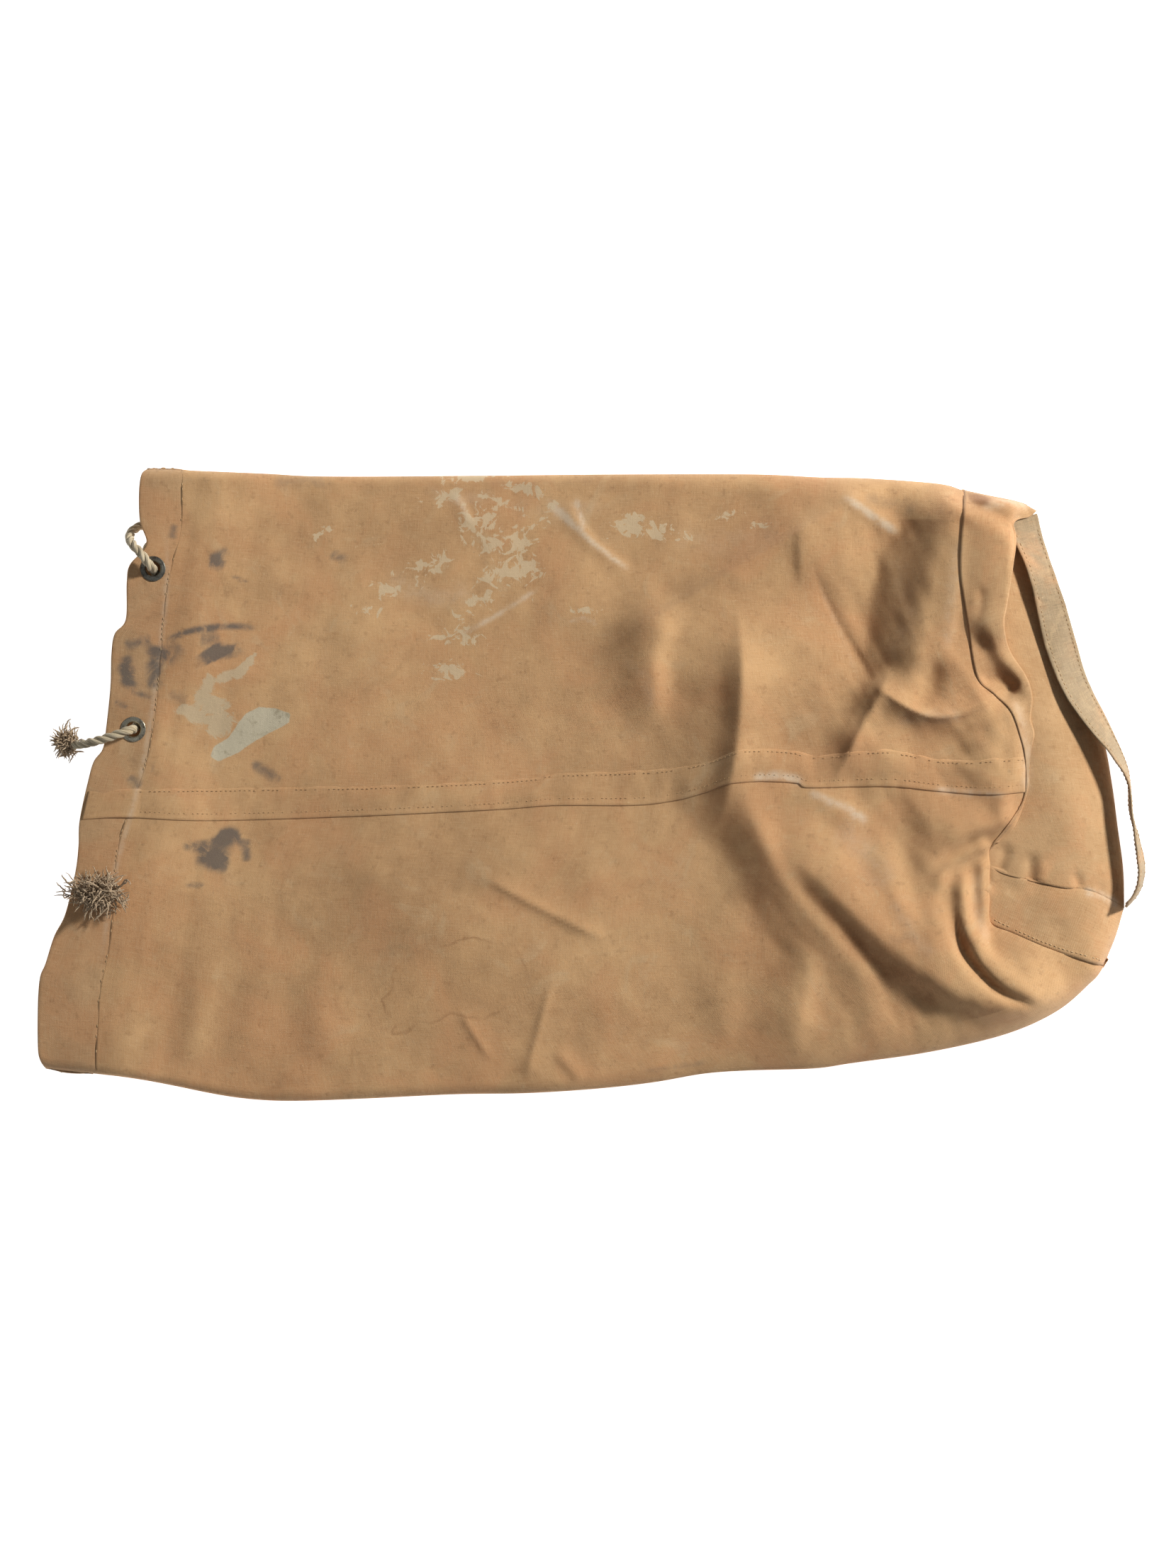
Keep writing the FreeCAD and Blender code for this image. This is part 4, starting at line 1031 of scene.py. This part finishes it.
# Painted shade on the band: darker where it rises towards the roll edge, away from the key light, above y 60
# mm.
band_rise = np.gradient(band_grid[..., 2], axis=0) / np.maximum(np.gradient(band_grid[..., 0], axis=0), 0.8)
band_painted_shade = np.zeros(len(points))
band_painted_shade[:band_rise.size] = (np.clip(band_rise / 0.5, 0, 1) * (band_grid[..., 1] > 60)).ravel()
band_fields["hollow"] = band_painted_shade
band = make_object("base_band_cloth", points, faces, BASE, band_fields, band_uv)
thicken(band, BAND_CLOTH, 0.0)
stand_in(band, "base_band")

DISC_FOLD_Z = 9
disc_u, disc_v = np.linspace(0, 1, 66), np.linspace(0, 1, 120)
DISC_BOTTOM = [(346, -66), (371, -80), (398, -87), (428, -93.5), (451, -96), (485, -112)]
DISC_TOP = [(320, 256), (372, 260), (396, 256)]
disc_xy = coons(DISC_LEFT, DISC_EDGE, DISC_BOTTOM, DISC_TOP, disc_u, disc_v)
x, y = disc_xy[..., 0], disc_xy[..., 1]
under, _ = nearest(x, y, curve(ROLL_EDGE))
tuck = 13 * ease((under - 2) / 30) * ease((y + 78) / 30)
fold_in, _ = nearest(x, y, fold_line)
disc_z = base_form(x, y) - tuck
round_in = np.sqrt(1 - (1 - np.clip(fold_in / 9, 0, 1)) ** 2)
disc_z = DISC_FOLD_Z + (disc_z - DISC_FOLD_Z) * round_in
disc_front = np.dstack([x, y, disc_z])
disc_back_xy = coons(BACK_RIM, DISC_EDGE, [(485, -112), (485, -112)], [(396, 256), (396, 256)],
                     np.linspace(0, 1, 14)[:-1], disc_v)
x, y = disc_back_xy[..., 0], disc_back_xy[..., 1]
fold_in, _ = nearest(x, y, fold_line)
round_in = np.sqrt(1 - (1 - np.clip(fold_in / 10, 0, 1)) ** 2)
disc_back = np.dstack([x, y, DISC_FOLD_Z + (np.minimum(back(x, y), 8) - DISC_FOLD_Z) * round_in])
disc_grid = np.concatenate([disc_front, disc_back[::-1]], 0)
flags = np.concatenate([np.ones(disc_front.shape[:2]), np.zeros(disc_back.shape[:2])], 0)
disc_fields = cloth_marks(disc_grid[..., 0].ravel(), disc_grid[..., 1].ravel(), flags.ravel())
disc = make_object("base_disc_cloth", disc_grid.reshape(-1, 3), grid_faces(*disc_grid.shape[:2]), BASE,
                   disc_fields, cloth_uv(disc_grid))
thicken(disc, DISC_CLOTH, 0.0)
stand_in(disc, "base_disc")

lap_x = np.linspace(0, 1, 330)
lap_low, lap_high = curve(LAP_FOLD, at=lap_x), curve(LAP_TOP, at=lap_x)
LAP_SHARES = np.array([-0.02, 0.0, 0.03, 0.10, 0.2, 0.32, 0.45, 0.58, 0.7, 0.82, 0.92, 1.0, 1.08])
LAP_LIFT = np.array([0.1, 0.95, 1.25, 1.2, 0.95, 1.15, 1.15, 1.05, 0.9, 0.7, 0.42, 0.3, -0.25])
over_lap = LAP_SHARES[None, :, None]
lap_grid = lap_low[:, None] * (1 - over_lap) + lap_high[:, None] * over_lap
x, y = lap_grid[..., 0], lap_grid[..., 1]
on_hem = ease((-410 - along_sack(x, y)) / 6)
lap_z = front(x, y) + LAP_LIFT[None] + on_hem * 0.75
lap_z = lap_z + 0.25 * noise(x, y * 0.2, 9, 21) * ease(LAP_SHARES / 0.3)[None]
lap_grid = np.dstack([x, y, lap_z])
lap = make_object("seam_lap_cloth", lap_grid.reshape(-1, 3), grid_faces(*lap_grid.shape[:2]), BODY,
                  cloth_marks(x.ravel(), y.ravel(), np.ones(x.size)), cloth_uv(lap_grid))
face_up(lap, np.arange(6, lap_grid.shape[0] * lap_grid.shape[1], lap_grid.shape[1]))
thicken(lap, LAP_CLOTH)
stand_in(lap, "seam_lap")

# ---------------------------------------------------------------------------
# Handle strap
# ---------------------------------------------------------------------------

STRAP_WIDTH = 36.0
# The middle of the strap's width, and the slope of its width in degrees.
STRAP_COURSE = [((390, 244, 21), -30), ((395.5, 226, 25), -38), ((405, 200, 26), -43), ((415, 167, 25.5),
                -38), ((424, 133, 25), -31), ((433, 105, 25), -36), ((443, 82, 25), -42), ((462, 52, 24),
                -56), ((478.5, 26, 22.5), -68), ((488, 2, 21.5), -81), ((490, -23, 21), -84), ((495.5, -49,
                21), -77), ((499.5, -75, 21), -74), ((497.5, -92, 20.5), -77), ((491.5, -103, 20), -80),
                ((485.5, -109.5, 19.5), -80)]
strap_at = np.linspace(0, 1, 170)
course = curve([(*place, slope) for place, slope in STRAP_COURSE], at=strap_at)
centre, slope = course[:, :3], np.radians(course[:, 3])
along = np.gradient(centre, axis=0)
along /= np.linalg.norm(along, axis=1)[:, None]
level = -np.cross(along, (0, 0, 1))
level /= np.linalg.norm(level, axis=1)[:, None]
across = level * np.cos(slope)[:, None] + np.array([0, 0, 1.0]) * np.sin(slope)[:, None]
face = np.cross(along, across)
face *= np.sign(face[:, 2:3] + 1e-9)
half_rows = np.array([0.15, 0.4, 0.62, 0.74, 0.84, 0.93, 0.985, 1])
half_lift = np.array([0.1, 0.15, 0.1, -0.18, 0.12, 0.2, 0.0, -0.55])
STRAP_ROWS = np.r_[-half_rows[::-1], half_rows]
STRAP_LIFT = np.r_[half_lift[::-1], half_lift]
STRAP_LENGTH = 400
length = strap_at * STRAP_LENGTH


def strap_waves(down, out):
    """How far the strap's face stands out of true, at mm along it and across it."""
    return 0.5 * noise(down, out, 24, 31) + 0.25 * noise(down, out, 9, 32)


wavy = strap_waves(length[:, None], STRAP_ROWS[None] * STRAP_WIDTH / 2)
half = 0.5 * (STRAP_WIDTH - 1.0) + 0.5 * noise(length, length * 0, 40, 33)
strap_points = (centre[:, None] + across[:, None] * (STRAP_ROWS[None] * half[:, None])[..., None]
                + face[:, None] * (STRAP_LIFT[None] + wavy)[..., None])
strap = make_object("handle_strap_cloth", strap_points.reshape(-1, 3), grid_faces(*strap_points.shape[:2]),
                    STRAP, uv=cloth_uv(strap_points))
thicken(strap, STRAP_CLOTH, 0.0)
stand_in(strap, "handle_strap", "handle")

# ---------------------------------------------------------------------------
# Stitches
# ---------------------------------------------------------------------------

def stitch_row(line, normal, length=3.1, gap=1.5, radius=0.34, skip=0.06, seed=1):
    """Short threads along a line of points; normal points out of the cloth at each point."""
    random = np.random.RandomState(seed)
    far = np.r_[0, np.cumsum(np.linalg.norm(np.diff(line, axis=0), axis=1))]
    parts, at = [], gap
    while at + length < far[-1]:
        if random.rand() > skip:
            shares = np.linspace(at, at + length * random.uniform(0.85, 1.05), 5)
            points = np.stack([np.interp(shares, far, line[:, k]) for k in range(3)], -1)
            out = np.stack([np.interp(shares, far, normal[:, k]) for k in range(3)], -1)
            points = points + out * np.array([-0.35, 0.22, 0.32, 0.22, -0.35])[:, None]
            points += random.normal(0, 0.12, 3) * (1, 1, 0)
            parts.append(tube(points, radius * np.array([0.7, 1, 1, 1, 0.7]), 6))
        at += length + gap
    return parts


def on_surface(points, height, lift, count):
    """A line over the cloth, with the upward direction at each of its points."""
    line = curve(points, count)
    x, y = line[:, 0], line[:, 1]
    z = height(x, y) + lift
    slope_x = (height(x + 1.5, y) - height(x - 1.5, y)) / 3
    slope_y = (height(x, y + 1.5) - height(x, y - 1.5)) / 3
    up = np.stack([-slope_x, -slope_y, np.ones(len(x))], -1)
    return np.column_stack([x, y, z]), up / np.linalg.norm(up, axis=1)[:, None]


def shifted(points, share, other):
    """A line between two lines, at a share of the way from the first."""
    a, b = curve(points, 240), curve(other, 240)
    return a * (1 - share) + b * share


parts = []
hem_row = [(px + 1.2, py) for px, py in HEM_LINE[1:-1]]
line, up = on_surface([(-453, -254)] + hem_row + [(-374.5, 282)], hem_front, 0.12, 600)
parts += stitch_row(line, up, radius=0.28, seed=2, skip=0.5)
line, up = on_surface([(-453, -254)] + hem_row + [(-374.5, 282)], hem_back, -0.12, 600)
parts += stitch_row(line, -up, seed=3)
dull = []
line, up = on_surface(shifted(LAP_FOLD, 0.22, LAP_TOP), front, 1.0, 900)
dull += stitch_row(line[30:], up[30:], length=2.4, gap=1.9, radius=0.22, seed=4, skip=0.2)
line, up = on_surface(shifted(LAP_FOLD, 0.96, LAP_TOP), front, 0.65, 900)
dull += stitch_row(line[30:], up[30:], length=2.4, gap=1.9, radius=0.22, seed=5, skip=0.2)
low_row = [(462, -159), (417, -145.5), (379, -129.5), (362, -121)]
line, up = on_surface(low_row, base_form, 1.5, 200)
parts += stitch_row(line, up, length=2.8, gap=1.4, seed=6)
line, up = on_surface([(px + 3, py) for px, py in BACK_SEAM[1:-1]], back, -0.95, 300)
dull += stitch_row(line, -up, length=2.8, gap=1.6, radius=0.27, seed=7)
for name, rows, material in (("stitches_pale", parts, THREAD), ("stitches_dull", dull, PALE_THREAD)):
    points, faces = joined(rows)
    item = make_object(name, points, faces, material)
    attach(item, "sack")
rows = []
for edge, seed in ((3.6, 8), (-3.6, 9)):
    place = (edge / abs(edge)) * (half - abs(edge))
    lift = np.interp(place / half, STRAP_ROWS, STRAP_LIFT)
    for side in (1, -1):
        out = side * 1.15 + lift + strap_waves(length, place)
        line = centre + across * place[:, None] + face * out[:, None]
        rows += stitch_row(line[4:-4], face[4:-4] * side, length=2.8, gap=1.5, radius=0.3, seed=seed + side)
points, faces = joined(rows)
item = make_object("stitches_strap", points, faces, PALE_THREAD)
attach(item, "handle")

# ---------------------------------------------------------------------------
# Eyelets and washers
# ---------------------------------------------------------------------------

# The turned profile: radius, and height above the hem's outer face.
EYELET_PROFILE = [(6.8, -3.9), (6.75, -1.0), (6.75, 0.2), (6.9, 0.75), (7.3, 1.08), (7.9, 1.2), (8.6, 1.12),
                  (9.4, 0.85), (10.3, 0.68), (10.9, 0.72), (11.35, 0.6), (11.5, 0.25), (11.45, 0.02), (10.4,
                  -0.02), (7.7, -0.02), (7.6, -3.3), (8.3, -3.4), (8.75, -3.7), (8.5, -4.05), (7.6, -4.15)]


def lathe(profile, ring, centre, flip):
    """Points and faces of a profile turned about an upright axis, upside down when flip is set."""
    angle = np.linspace(0, 2 * math.pi, ring, endpoint=False)
    p = np.array(profile)
    height = centre[2] + (-p[:, 1] if flip else p[:, 1])
    x = centre[0] + p[:, :1] * np.cos(angle)[None]
    y = centre[1] + p[:, :1] * np.sin(angle)[None]
    points = np.dstack([x, y, np.broadcast_to(height[:, None], x.shape)]).reshape(-1, 3)
    faces = grid_faces(len(profile), ring, closed=True).tolist()
    last = (len(profile) - 1) * ring
    faces += [[last + i, i, (i + 1) % ring, last + (i + 1) % ring] for i in range(ring)]
    if not flip:
        faces = [f[::-1] for f in faces]
    return points, faces


for places, level, flip in ((FRONT_EYELETS, HEM_FRONT_Z, False), (BACK_EYELETS, HEM_BACK_Z, True)):
    for number, (px, py) in places.items():
        points, faces = lathe(EYELET_PROFILE, 64, (px, py, level), flip)
        item = make_object(f"eyelet_ring_{number}", points, faces, BRIGHT if number == 2 else STEEL)
        stand_in(item, f"eyelet_{number}")
        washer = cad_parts[f"eyelet_washer_{number}"]
        washer.data.materials.clear()
        washer.data.materials.append(STEEL)

# ---------------------------------------------------------------------------
# Floor
# ---------------------------------------------------------------------------

floor_shader = Shader("floor", roughness=0.8, specular=0.1)
floor_shader.set(floor_shader.main, {"Base Color": linear(250, 250, 250), "Emission Color": (1, 1, 1, 1),
                                     "Emission Strength": 0.9})
points = np.array([(-6000, -6000, -0.2), (6000, -6000, -0.2), (6000, 6000, -0.2), (-6000, 6000, -0.2)])
floor = make_object("floor", points, [[0, 1, 2, 3]], floor_shader.material)
